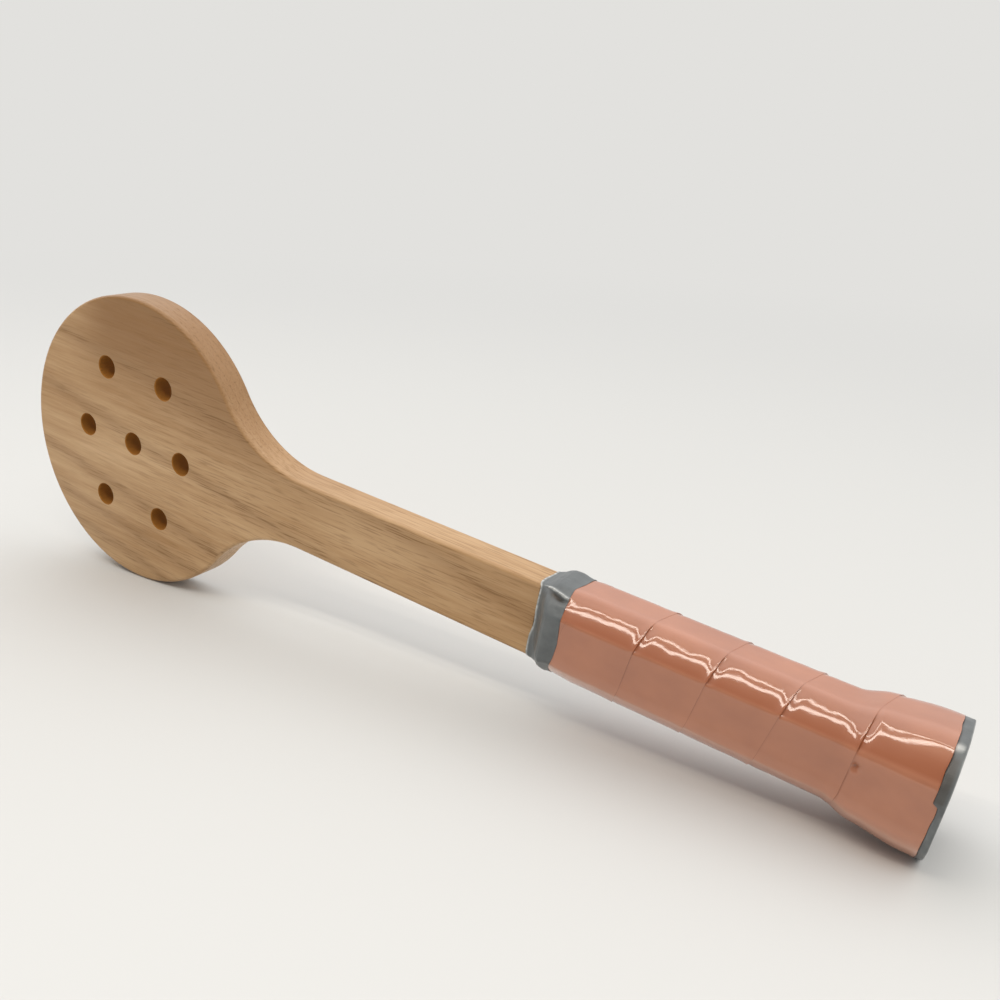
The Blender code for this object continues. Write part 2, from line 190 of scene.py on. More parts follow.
@dataclass(frozen=True)
class Section:
    """A handle's section: eight crowned flats with rounded corners.

    The outline is given by how far it runs while its normal turns, so a flat with a small
    turn is a shallow crown, and a corner is a tight arc. Places on it are shares of one turn,
    from the front's middle over the top.
    """

    half_width: float
    half_depth: float
    bevel_run: float
    front_radius: float
    side_radius: float
    flat_turn: float = math.radians(1.2)
    bevel_turn: float = math.radians(7.0)
    steps: int = 60
    corner_pull: float = 0.3

    def quarter(self) -> list[tuple[float, float]]:
        """A quarter of the outline, in pieces of even curvature.

        Returns:
            The angle that each piece turns through, and its radius.
        """
        corner = (math.pi / 2 - 2 * self.flat_turn - 2 * self.bevel_turn) / 2
        fixed = [(corner, self.front_radius),
                 (2 * self.bevel_turn, self.bevel_run / (2 * self.bevel_turn)),
                 (corner, self.side_radius)]
        angle = self.flat_turn
        width = depth = 0.0
        for turn, radius in fixed:
            width += radius * (math.sin(angle + turn) - math.sin(angle))
            depth += radius * (math.cos(angle) - math.cos(angle + turn))
            angle += turn
        sine, rest = math.sin(self.flat_turn), 1 - math.cos(self.flat_turn)
        front, top = np.linalg.solve(
            [[sine, rest], [rest, sine]], [self.half_width - width, self.half_depth - depth])
        return [(self.flat_turn, float(front)), *fixed, (self.flat_turn, float(top))]

    def outline(self, count: int) -> tuple[np.ndarray, np.ndarray, np.ndarray]:
        """Points round the section, closer together on its corners.

        Args:
            count: How many points.

        Returns:
            Each point's share of a turn, its (depth, across) place and its outward normal.
        """
        angles, places = [0.0], [(self.half_depth, 0.0)]
        for turn, radius in self.quarter():
            for _ in range(self.steps):
                step = turn / self.steps
                middle = angles[-1] + step / 2
                depth, across = places[-1]
                places.append((depth - radius * math.sin(middle) * step,
                               across + radius * math.cos(middle) * step))
                angles.append(angles[-1] + step)
        one = np.array(places)
        turns = np.array(angles)
        flip = np.array([-1.0, 1.0])
        points = np.concatenate([one, (one * flip)[::-1][1:], (one * -1)[1:],
                                 (one * -flip)[::-1][1:]])
        facing = np.concatenate([turns, (math.pi - turns)[::-1][1:], (math.pi + turns)[1:],
                                 (math.tau - turns)[::-1][1:]])
        runs = np.linalg.norm(np.diff(points, axis=0), axis=1)
        walked = np.concatenate([[0.0], np.cumsum(runs)]) / runs.sum()
        pace = (1 - self.corner_pull) * walked + self.corner_pull * facing / math.tau
        even = np.linspace(pace[0], pace[-1], count + 1)[:-1]
        shares = np.interp(even, pace, walked)
        spots = np.stack([np.interp(shares, walked, points[:, axis]) for axis in (0, 1)], -1)
        facing = np.interp(shares, walked, facing)
        return shares, spots, np.stack([np.cos(facing), np.sin(facing)], -1)


def skin_mesh(name: str, points: np.ndarray, closed: tuple[bool, bool],
              capped: bool = False) -> Object:
    """Lay a grid primitive over an array of points.

    Args:
        name: The object's name.
        points: Rows of points, with three numbers each.
        closed: Whether the rows join round, and whether each row does.
        capped: Whether the open ends of the rows are closed with a face.

    Returns:
        The object, with its faces pointing outwards.
    """
    rows_closed, columns_closed = closed
    if rows_closed:
        points = np.concatenate([points, points[:1]])
    if columns_closed:
        points = np.concatenate([points, points[:, :1]], axis=1)
    down, along = points.shape[0] - 1, points.shape[1] - 1
    bpy.ops.object.select_all(action="DESELECT")
    bpy.ops.mesh.primitive_grid_add(
        x_subdivisions=along, y_subdivisions=down, size=1.0, calc_uvs=True)
    obj = bpy.context.active_object
    obj.name = obj.data.name = name
    flat = np.empty(len(obj.data.vertices) * 3)
    obj.data.vertices.foreach_get("co", flat)
    spots = flat.reshape(-1, 3)
    column = np.rint((spots[:, 0] + 0.5) * along).astype(int)
    row = np.rint((spots[:, 1] + 0.5) * down).astype(int)
    obj.data.vertices.foreach_set("co", points[row, column].ravel())
    obj.data.update()
    take_up(obj)
    bpy.ops.object.mode_set(mode="EDIT")
    bpy.ops.mesh.select_all(action="SELECT")
    bpy.ops.mesh.remove_doubles(threshold=WELD)
    if capped:
        bpy.ops.mesh.select_all(action="DESELECT")
        bpy.ops.mesh.select_mode(type="EDGE")
        bpy.ops.mesh.select_non_manifold()
        bpy.ops.mesh.fill_holes(sides=0)
    bpy.ops.mesh.select_all(action="SELECT")
    bpy.ops.mesh.normals_make_consistent(inside=False)
    bpy.ops.object.mode_set(mode="OBJECT")
    return obj


def apply_modifier(obj: Object, kind: str, **settings: object) -> None:
    """Put a modifier on an object and apply it.

    Args:
        obj: The object.
        kind: The modifier's type.
        **settings: The modifier's properties.
    """
    take_up(obj)
    modifier = obj.modifiers.new(kind.lower(), kind)
    for name, value in settings.items():
        setattr(modifier, name, value)
    bpy.ops.object.modifier_apply(modifier=modifier.name)


@dataclass(frozen=True)
class Lean:
    """How the racket's own frame leans in the row's frame, worked out from the record's mounts."""

    face_spot: tuple[float, float, float] = (0.045, -0.0066, 0.0)

    def matrix(self) -> Matrix:
        """Work the lean out.

        Returns:
            The matrix from the racket's frame to the row's.
        """
        mounts = {mount["name"]: mount for mount in frame["record"]["mounts"]}
        along = Vector(mounts["butt_end"]["axis"]).normalized()
        rear = -Vector(mounts["front_face"]["axis"]).normalized()
        turn = Matrix((along, rear, along.cross(rear))).transposed()
        place = Vector(mounts["front_face"]["pos_m"]) - turn @ Vector(self.face_spot)
        return Matrix.Translation(place) @ turn.to_4x4()

    def own_coordinates(self, add: AddNode) -> NodeSocket:
        """Nodes that give a point's place in the racket's own frame, in millimetres.

        Args:
            add: Adds a node to the material's tree.

        Returns:
            The socket with the place.
        """
        back = self.matrix().inverted()
        return add("Mapping", {
            "Vector": add("TexCoord", output="Object"), "Scale": (1 / MM,) * 3,
            "Rotation": back.to_euler(), "Location": back.translation / MM})


# Finishes


@dataclass(frozen=True)
class Finish:
    """A finish. Each kind has a name and a shader method that draws it."""

    def material(self) -> Material:
        """Build the material.

        Returns:
            The material, with the nodes that draw the finish.
        """
        material = bpy.data.materials.new(self.name)
        material.use_nodes = True
        material.node_tree.nodes.clear()
        add = partial(add_node, material.node_tree)
        add("OutputMaterial", {"Surface": self.shader(add)})
        return material


def grain(add: AddNode, place: NodeSocket, size: tuple[float, float], detail: float = 2.0,
          roughness: float = 0.5) -> NodeSocket:
    """Draw noise that is stretched along the racket, as fibres are.

    Args:
        add: Adds a node to the material's tree.
        place: The point's place in the racket's own frame.
        size: One grain's length along the racket and its width, in millimetres.
        detail: The noise's detail.
        roughness: How rough that detail is.

    Returns:
        A value round one half.
    """
    long, wide = size
    stretched = add("VectorMath", {0: place, 1: (1 / long, 1 / wide, 1 / wide)},
                    operation="MULTIPLY")
    return add("TexNoise", {"Vector": stretched, "Scale": 1.0, "Detail": detail,
                            "Roughness": roughness})


def lay_tones(add: AddNode, colour: NodeSocket, *layers: tuple[NodeSocket, str]) -> NodeSocket:
    """Lay tones over a colour, one after another.

    Args:
        add: Adds a node to the material's tree.
        colour: The colour below.
        *layers: How much of each tone covers what is below it, and its hex colour.

    Returns:
        The colour that shows.
    """
    for share, tone in layers:
        colour = add("Mix", {"Factor": share, "A": colour, "B": tone}, output="Result",
                     data_type="RGBA")
    return colour


@dataclass(frozen=True)
class OiledOak(Finish):
    """Red oak board, flat-sawn, sanded and oiled.

    Open grain shows as fine dark dashes along the board, growth rings as soft darker streaks
    that fall slightly towards the butt, and the oil leaves a low satin sheen. Heights and runs
    are in millimetres.
    """

    lean: Lean
    name: str = "oiled_flat_sawn_oak"
    pale: str = "CAA77D"
    warm: str = "AB8355"
    # Partly the board's own darker tone above the heart line, partly painted shade where the light
    # falls off over the head
    heart: str = "865E33"
    streak: str = "8A663E"
    pore: str = "7A5731"
    # Partly the scorched end grain's own tone and partly painted shade inside the holes
    drilled: str = "9A6830"
    half_board: float = 6.6
    drift: float = 3.0
    ring_run: float = 1527.0
    ring_start: float = 0.128
    streak_width: float = 16.0
    heart_height: float = 17.3
    heart_fall: float = 0.155
    heart_depth: float = 250.0
    steepest: float = 16.0
    roughness: float = 0.40

    def ring_lines(self, add: AddNode, across: NodeSocket, y: NodeSocket) -> NodeSocket:
        """Draw the growth rings, which lie like nested troughs round the heart line.

        Args:
            add: Adds a node to the material's tree.
            across: The height over the heart line.
            y: The depth in the board, from its middle.

        Returns:
            How strongly a ring line shows.
        """
        square = add("Math", {0: across, 1: across}, operation="MULTIPLY")
        depth = add("Math", {0: y, 1: self.half_board})
        depth = add("Math", {0: depth, 1: 2 * self.heart_depth, 2: square},
                    operation="MULTIPLY_ADD")
        rings = add("Math", {0: depth, 1: 1 / self.ring_run, 2: -self.ring_start},
                    operation="MULTIPLY_ADD")
        cycle = add("Math", {0: rings, 1: 0.5}, operation="PINGPONG")
        # The distance to the nearest ring line, as a share of a streak's half width
        slope = add("Math", {0: across}, operation="ABSOLUTE")
        slope = add("Math", {0: slope, 1: self.steepest}, operation="MAXIMUM")
        away = add("Math", {0: cycle, 1: slope}, operation="DIVIDE")
        away = add("Math", {0: away, 1: self.ring_run / self.streak_width}, operation="MULTIPLY")
        return add("ValToRGB", {"Fac": away}, stops=(
            (0.0, 0.8), (0.14, 0.65), (0.40, 0.2), (0.8, 0.0)))

    def shader(self, add: AddNode) -> NodeSocket:
        """Draw the finish.

        Args:
            add: Adds a node to the material's tree.

        Returns:
            The shader.
        """
        place = self.lean.own_coordinates(add)
        x, y, z = add("SeparateXYZ", {"Vector": place}).node.outputs
        drift = add("MapRange", {"Value": grain(add, place, (55.56, 20.0)),
                                 "To Min": -self.drift, "To Max": self.drift})
        fall = add("Math", {0: x, 1: self.heart_fall, 2: -self.heart_height},
                   operation="MULTIPLY_ADD")
        across = add("Math", {0: add("Math", {0: z, 1: fall}), 1: drift})
        ring = self.ring_lines(add, across, y)
        pores = add("ValToRGB", {"Fac": grain(add, place, (11.765, 0.6452))}, stops=(
            (0.52, 0.0), (0.60, 0.6), (0.68, 1.0)))
        # Long fibres, fine fibres and broad clouds add up to the board's own tone
        tone = 0.0
        for size, detail, roughness, weight in (
                ((50.0, 2.857), 5.0, 0.7, 0.46), ((25.0, 1.0), 2.0, 0.5, 0.14),
                ((83.33, 33.33), 1.0, 0.5, 0.40)):
            pattern = grain(add, place, size, detail, roughness)
            tone = add("Math", {0: pattern, 1: weight, 2: tone}, operation="MULTIPLY_ADD")
        base = add("ValToRGB", {"Fac": tone}, stops=((0.37, self.warm), (0.62, self.pale)))
        # The wood is darker above the heart line, but not at the tip and less in the throat: partly
        # the board's own tone and partly painted shade, where the light falls off over the upper
        # right of the head.
        # Its pores are more open on the butt's side.
        above, inward, throat, butt_side = (
            add("MapRange", {"Value": value, "From Min": start, "From Max": end,
                             "To Min": low, "To Max": high}, interpolation_type="SMOOTHSTEP")
            for value, start, end, low, high in (
                (across, -14.0, 30.0, 0.0, 0.75), (x, -50.0, -12.0, 0.0, 1.0),
                (x, 50.0, 150.0, 1.0, 0.35), (x, -45.0, 60.0, 0.10, 0.37)))
        for fade in (inward, throat):
            above = add("Math", {0: above, 1: fade}, operation="MULTIPLY")
        streaks = add("Math", {0: ring, 1: 0.50}, operation="MULTIPLY")
        # More pores open in the early wood of each ring
        near = add("MapRange", {"Value": ring, "From Max": 0.8, "To Max": 0.38})
        near = add("Math", {0: near, 1: butt_side})
        pores = add("Math", {0: pores, 1: near}, operation="MULTIPLY")
        # The holes' walls are darker and dull: partly the drill-scorched end grain's own tone and
        # partly painted shade inside the holes
        hole = add("Attribute", output="Fac", attribute_name="drilled")
        colour = lay_tones(add, base, (above, self.heart), (streaks, self.streak),
                           (pores, self.pore), (hole, self.drilled))
        sunk = add("Math", {0: pores, 1: -1.0}, operation="MULTIPLY")
        bump = add("Bump", {"Strength": 0.35, "Distance": 0.05 * MM, "Height": sunk})
        rough = add("MapRange", {"Value": pores, "To Min": self.roughness, "To Max": 0.7})
        shine = add("MapRange", {"Value": hole, "To Min": 0.45, "To Max": 0.05})
        return add("BsdfPrincipled", {"Base Color": colour, "Roughness": rough, "Normal": bump,
                                      "IOR": 1.47, "Specular IOR Level": shine})


@dataclass(frozen=True)
class PlanedLime(Finish):
    """Lime wood, planed: pale, close-grained, with faint long fibres."""

    lean: Lean
    name: str = "planed_lime_wood"
    pale: str = "D2B48C"
    dark: str = "B8966B"

    def shader(self, add: AddNode) -> NodeSocket:
        """Draw the finish.

        Args:
            add: Adds a node to the material's tree.

        Returns:
            The shader.
        """
        fibre = grain(add, self.lean.own_coordinates(add), (33.33, 1.25), 4.0, 0.6)
        colour = add("ValToRGB", {"Fac": fibre}, stops=((0.35, self.dark), (0.65, self.pale)))
        bump = add("Bump", {"Strength": 0.2, "Distance": 0.05 * MM, "Height": fibre})
        return add("BsdfPrincipled", {"Base Color": colour, "Roughness": 0.62, "Normal": bump})


@dataclass(frozen=True)
class MouldedPlastic(Finish):
    """An injection-moulded plastic with a spark-eroded texture and a soft, uneven sheen.

    The texture is drawn coarser than a real one, so that it shows.
    """

    name: str
    colour: str
    roughness: float
    spark_mm: float = 0.35
    patch_mm: float = 11.11
    lift: float = 1.25

    def shader(self, add: AddNode) -> NodeSocket:
        """Draw the finish.

        Args:
            add: Adds a node to the material's tree.

        Returns:
            The shader.
        """
        place = add("TexCoord", output="Object")
        spark = add("TexNoise", {"Vector": place, "Scale": 1 / (self.spark_mm * MM)})
        patch = add("TexNoise", {"Vector": place, "Scale": 1 / (self.patch_mm * MM),
                                 "Detail": 3.0})
        rough = add("MapRange", {
            "Value": patch, "From Min": 0.3, "From Max": 0.7,
            "To Min": self.roughness - 0.06, "To Max": self.roughness + 0.1})
        paler = tuple(min(1.0, self.lift * channel) for channel in linear(self.colour))
        tint = add("ValToRGB", {"Fac": patch}, stops=((0.3, self.colour), (0.9, paler)))
        bump = add("Bump", {"Strength": 0.25, "Distance": 0.03 * MM, "Height": spark})
        return add("BsdfPrincipled", {
            "Base Color": tint, "Roughness": rough, "Normal": bump, "IOR": 1.53})


@dataclass(frozen=True)
class GalvanisedWire(Finish):
    """Zinc-coated steel wire: bright grey metal, slightly dulled and streaked by drawing."""

    name: str = "galvanised_steel_wire"
    colour: str = "C3C4C2"
    dull: str = "A9ABAA"
    roughness: float = 0.34
    cloud_mm: float = 1.111

    def shader(self, add: AddNode) -> NodeSocket:
        """Draw the finish.

        Args:
            add: Adds a node to the material's tree.

        Returns:
            The shader.
        """
        cloud = add("TexNoise", {"Vector": add("TexCoord", output="Object"),
                                 "Scale": 1 / (self.cloud_mm * MM), "Detail": 3.0})
        tint = add("ValToRGB", {"Fac": cloud}, stops=((0.3, self.dull), (0.7, self.colour)))
        rough = add("MapRange", {
            "Value": cloud, "From Min": 0.3, "From Max": 0.7,
            "To Min": self.roughness - 0.08, "To Max": self.roughness + 0.12})
        return add("BsdfPrincipled", {"Base Color": tint, "Roughness": rough, "Metallic": 1.0})


@dataclass(frozen=True)
class GripFilm(Finish):
    """Cushioned polyurethane grip strip under its clear glossy film.

    The soft pink-brown layer is slightly mottled. Painted shade deepens it over the upper front
    bevel, a painted light from the floor makes it paler over the lower front bevel, and painted shade
    darkens it along each turn's edges in the seams. The film over it is tight and glossy. The strip's
    map is in metres along it, and one turn takes up a run.
    """

    lean: Lean
    name: str = "glossy_polyurethane_grip"
    pale: str = "B07151"
    deep: str = "A4684B"
    # Painted shade in the seams, along each turn's edges
    edge: str = "8A553C"
    # Painted shade on the upper front bevel
    bevel_shade: str = "9C5A39"
    # A paler tone painted on the lower front bevel, for the light from the floor
    floor_light: str = "CE977D"
    run: float = 0.104
    edge_share: float = 0.026
    roughness: float = 0.07

    def shader(self, add: AddNode) -> NodeSocket:
        """Draw the finish.

        Args:
            add: Adds a node to the material's tree.

        Returns:
            The shader.
        """
        place = self.lean.own_coordinates(add)
        strip = add("UVMap", uv_map="UVMap")
        along, across = add("SeparateXYZ", {"Vector": strip}).node.outputs[:2]
        cloud = grain(add, place, (20.0, 14.29), 3.0, 0.55)
        body = add("ValToRGB", {"Fac": cloud}, stops=((0.32, self.deep), (0.68, self.pale)))
        turns = add("Math", {0: along, 1: 1 / self.run}, operation="MULTIPLY")
        share = add("Math", {0: turns}, operation="FRACT")
        # Where painted shade deepens the upper front bevel, where a painted light from the floor
        # makes the lower front bevel paler, and where the painted shade in the seams shows, which is
        # hardly the case on the bevels, where the gloss hides it
        bevel, under, seen = (add("ValToRGB", {"Fac": share}, stops=stops) for stops in (
            ((0.080, 0.0), (0.094, 1.0), (0.125, 0.75), (0.150, 0.0)),
            ((0.800, 0.0), (0.840, 0.9), (0.895, 0.9), (0.925, 0.4), (0.965, 0.0)),
            ((0.080, 0.9), (0.100, 0.12), (0.170, 0.12), (0.200, 0.0), (0.300, 0.0),
             (0.330, 0.12), (0.900, 0.12), (0.930, 0.9))))
        # Painted shade along each turn's edges in the seams, strongest on the front flat and none on
        # the top
        rim = add("Math", {0: across, 1: 0.5}, operation="PINGPONG")
        rim = add("MapRange", {"Value": rim, "From Max": self.edge_share,
                               "To Min": 1.0, "To Max": 0.0})
        rim = add("Math", {0: rim, 1: seen}, operation="MULTIPLY")
        # Lay the painted shade of the upper front bevel, the painted floor light of the lower front
        # bevel and the painted shade of the seams over the body
        colour = lay_tones(add, body, (bevel, self.bevel_shade), (under, self.floor_light), (rim, self.edge))
        fine = grain(add, place, (2.222, 2.222), 3.0)
        bump = add("Bump", {"Strength": 0.5, "Distance": 0.032 * MM, "Height": fine})
        return add("BsdfPrincipled", {
            "Base Color": colour, "Roughness": 0.34, "IOR": 1.5, "Normal": bump,
            "Coat Weight": 1.0, "Coat Roughness": self.roughness, "Coat IOR": 1.6,
            "Coat Normal": bump, "Specular IOR Level": 0.3})


@dataclass(frozen=True)
class VinylTape(Finish):
    """Grey vinyl tape, stretched on by hand: satin, with lines from stretching, and painted
    highlights and painted shade where its pieces mark them.
    """

    lean: Lean
    name: str = "stretched_grey_vinyl_tape"
    plain: str = "666A6B"
    dark: str = "535758"
    # Paler tone: a painted highlight on the collar's crease and on the butt ring, and a paler edge on
    # both tapes
    pale_and_highlight: str = "D6D7D3"
    # Darker tone: painted shade in the collar's fold, and a darker upper front on the butt ring
    shade_and_darkening: str = "3B3126"
    roughness: float = 0.36

    def shader(self, add: AddNode) -> NodeSocket:
        """Draw the finish.

        Args:
            add: Adds a node to the material's tree.

        Returns:
            The shader.
        """
        place = self.lean.own_coordinates(add)
        cloud = grain(add, place, (6.25, 6.25), 4.0, 0.6)
        colour = add("ValToRGB", {"Fac": cloud}, stops=((0.3, self.dark), (0.7, self.plain)))
        # The mark is above 0 where the tape is painted paler, as with the painted highlight on the
        # collar's crease, and below 0 where it is painted darker, as with the painted shade under the
        # collar's fold
        mark = add("Attribute", output="Fac", attribute_name="stretch")
        darkened = add("Math", {0: mark, 1: -1.0}, operation="MULTIPLY")
        colour = lay_tones(add, colour, (mark, self.pale_and_highlight), (darkened, self.shade_and_darkening))
        lines = grain(add, place, (4.0, 1.111), 4.0, 0.6)
        bump = add("Bump", {"Strength": 0.5, "Distance": 0.12 * MM, "Height": lines})
        rough = add("MapRange", {
            "Value": cloud, "From Min": 0.3, "From Max": 0.7,
            "To Min": self.roughness - 0.05, "To Max": self.roughness + 0.1})
        return add("BsdfPrincipled", {
            "Base Color": colour, "Roughness": rough, "Normal": bump, "IOR": 1.53})


@dataclass(frozen=True)
class PaperSweep(Finish):
    """Matt studio paper, near white. Far off it shades into the pale room, so no edge shows."""

    name: str = "matt_sweep_paper"
    colour: str = "CCCCCA"
    far: str = "E2E1DE"

    def shader(self, add: AddNode) -> NodeSocket:
        """Draw the finish.

        Args:
            add: Adds a node to the material's tree.

        Returns:
            The shader.
        """
        paper = add("BsdfPrincipled", {
            "Base Color": self.colour, "Roughness": 0.9, "Specular IOR Level": 0.1})
        glow = add("Emission", {"Color": self.far, "Strength": 1.0})
        place = add("TexCoord", output="Object")
        away = add("VectorMath", {0: place}, output="Value", operation="LENGTH")
        far = add("MapRange", {"Value": away, "From Min": 0.35, "From Max": 1.3},
                  interpolation_type="SMOOTHSTEP")
        seen = add("LightPath", output="Is Camera Ray")
        share = add("Math", {0: far, 1: seen}, operation="MULTIPLY")
        return add("MixShader", {0: share, 1: paper, 2: glow})


# Sub-assemblies


@dataclass
class SubAssembly:
    """A group of pieces that are modelled in the racket's own frame."""

    lean: Lean
    pieces: list[Object] = field(default_factory=list)

    def hand_over(self, obj: Object, finish: Finish, slot: Slot, *nodes: str) -> None:
        """Dress a finished piece, lean it and put it in its nodes' place.

        Args:
            obj: The piece, in the racket's own frame.
            finish: Its finish.
            slot: The record's slot for it; not used.
            *nodes: The CAD nodes that it stands for.
        """
        obj.data.materials.clear()
        obj.data.materials.append(finish.material())
        obj.data.transform(self.lean.matrix())
        obj.data.update()
        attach(obj, "root")
        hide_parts(*nodes)
        self.pieces.append(obj)

    def dress_nodes(self, finish: Finish, *nodes: str) -> None:
        """Give CAD nodes that stay their material.

        Args:
            finish: Their finish.
            *nodes: Their names.
        """
        material = finish.material()
        for node in nodes:
            obj = frame["nodes"][node]
            for number in range(len(obj.material_slots)):
                obj.material_slots[number].material = material
            self.pieces.append(obj)

    def report(self) -> None:
        """Log each piece with its number of triangles."""
        for obj in self.pieces:
            obj.data.calc_loop_triangles()
            log.info("%s: %s, %d triangles", type(self).__name__, obj.name,
                     len(obj.data.loop_triangles))


@dataclass
class Blade(SubAssembly):
    """The oak board: a round head with seven holes, fillets, the throat and the tang."""

    thickness: float = 0.0132
    edge_radius: float = 0.0015
    head_centre: float = 0.0005
    head_half_length: float = 0.0587
    head_half_width: float = 0.0599
    fillet_radius: float = 0.0495
    neck_x: float = 0.094
    neck_half_width: float = 0.0135
    shoulder_x: float = 0.1897
    shoulder_half_width: float = 0.0138
    shoulder_run: float = 0.0002
    tang_end: float = 0.3184
    tang_half_width: float = 0.0136
    tang_half_thickness: float = 0.006
    hole_radius: float = 0.0045
    hole_mouth: float = 0.0003
    hole_centres: tuple[tuple[float, float], ...] = (
        (0.0, 0.0), (-0.0269, 0.0), (0.0269, 0.0), (-0.016, -0.0282), (-0.016, 0.0282),
        (0.016, -0.0282), (0.016, 0.0282))
    samples: int = 2881
    halvings: int = 40
    rim_points: int = 176
    fillet_steps: int = 26
    arris_steps: int = 6
    hole_sides: int = 56

    def throat_half_width(self, x: float) -> float:
        """Half the throat's width at a place along it."""
        share = (x - self.neck_x) / (self.shoulder_x - self.neck_x)
        return self.neck_half_width + (self.shoulder_half_width - self.neck_half_width) * share

    def fillet(self) -> tuple[Vector, Vector]:
        """The fillet that touches the rim and the throat, found by halving its range.

        Returns:
            Its centre and the point where it meets the rim, as (x, z).
        """
        angles = np.linspace(0, math.pi / 2, self.samples)
        rim = np.stack([self.head_centre + self.head_half_length * np.cos(angles),
                        self.head_half_width * np.sin(angles)], -1)
        low = self.head_centre + self.head_half_length
        high = low + self.fillet_radius
        for _ in range(self.halvings):
            middle = (low + high) / 2
            centre = (middle, self.throat_half_width(middle) + self.fillet_radius)
            gaps = np.linalg.norm(rim - centre, axis=1) - self.fillet_radius
            if gaps.min() < 0:
                low = middle
            else:
                high = middle
        return Vector(centre), Vector(rim[int(gaps.argmin())])

    def draw_half_outline(self) -> Object:
        """The upper half of the outline, from the tip to the tang's end.

        Returns:
            A wire object in the plane y = 0.
        """
        centre, touch = self.fillet()
        bpy.ops.object.select_all(action="DESELECT")
        bpy.ops.mesh.primitive_circle_add(
            vertices=self.rim_points, radius=self.head_half_length, fill_type="NOTHING",
            location=(self.head_centre, 0, 0), rotation=(math.pi / 2, 0, 0))
        obj = bpy.context.active_object
        obj.name = obj.data.name = "oak_blade"
        bpy.ops.object.transform_apply(location=True, rotation=True, scale=True)
        bpy.ops.object.mode_set(mode="EDIT")
        bpy.ops.mesh.select_all(action="SELECT")
        bpy.ops.transform.resize(
            value=(1, 1, self.head_half_width / self.head_half_length),
            center_override=(self.head_centre, 0, 0))
        # Only the rim from the tip to the fillet stays
        pick(obj, "verts", lambda v: v.co.z < -0.01 * MM or v.co.x > touch.x - 0.3 * MM)
        bpy.ops.mesh.delete(type="VERT")
        pick(obj, "verts", lambda v: len(v.link_edges) == 1 and v.co.z > MM)
        last = next(v.co.copy() for v in bmesh.from_edit_mesh(obj.data).verts if v.select)
        self.draw_on(Vector((touch.x, 0, touch.y)) - last)
        start = math.atan2(touch.y - centre.y, touch.x - centre.x) % math.tau
        bpy.ops.mesh.spin(steps=self.fillet_steps, angle=1.5 * math.pi - start,
                          axis=(0, 1, 0), center=(centre.x, 0, centre.y))
        corners = [(centre.x, self.throat_half_width(centre.x)),
                   (self.shoulder_x, self.shoulder_half_width),
                   (self.shoulder_x + self.shoulder_run, self.tang_half_width),
                   (self.tang_end, self.tang_half_width), (self.tang_end, 0.0)]
        for (x0, z0), (x1, z1) in zip(corners, corners[1:]):
            self.draw_on(Vector((x1 - x0, 0, z1 - z0)))
        bpy.ops.object.mode_set(mode="OBJECT")
        return obj

    @staticmethod
    def draw_on(step: Vector) -> None:
        """Extrude the selected end of a line by a step."""
        bpy.ops.mesh.extrude_region_move(TRANSFORM_OT_translate={"value": step})

    def round_face(self, obj: Object, side: int) -> None:
        """Round the arris of one face by a row of insets that follow a quarter circle.

        Args:
            obj: The board in edit mode.
            side: -1 for the front face, 1 for the rear one.
        """
        pick(obj, "faces", lambda f: f.normal.y * side > 0.9)
        angles = [math.pi / 2 * step / self.arris_steps for step in range(self.arris_steps + 1)]
        for before, after in zip(angles, angles[1:]):
            bpy.ops.mesh.inset(
                thickness=self.edge_radius * (math.cos(before) - math.cos(after)),
                depth=self.edge_radius * (math.sin(after) - math.sin(before)))
        bpy.ops.mesh.delete(type="ONLY_FACE")

    def drill(self, obj: Object, x: float, z: float) -> None:
        """Add one hole's wall, with its mouths eased.

        Args:
            obj: The board in edit mode, its faces open.
            x: The hole's place along the racket.
            z: The hole's place across it.
        """
        wall = self.thickness / 2 - self.hole_mouth
        bpy.ops.mesh.primitive_cylinder_add(
            vertices=self.hole_sides, radius=self.hole_radius, depth=2 * wall,
            end_fill_type="NOTHING", location=(x, 0, z), rotation=(math.pi / 2, 0, 0))
        grow = 1 + self.hole_mouth / self.hole_radius
        for side in (-1, 1):
            pick(obj, "edges", lambda e: all(
                abs(v.co.y - side * wall) < 0.001 * MM
                and math.hypot(v.co.x - x, v.co.z - z) < self.hole_radius + 0.01 * MM
                for v in e.verts))
            bpy.ops.mesh.extrude_region_move(
                TRANSFORM_OT_translate={"value": (0, side * self.hole_mouth, 0)})
            bpy.ops.transform.resize(value=(grow, 1, grow), center_override=(x, 0, z))

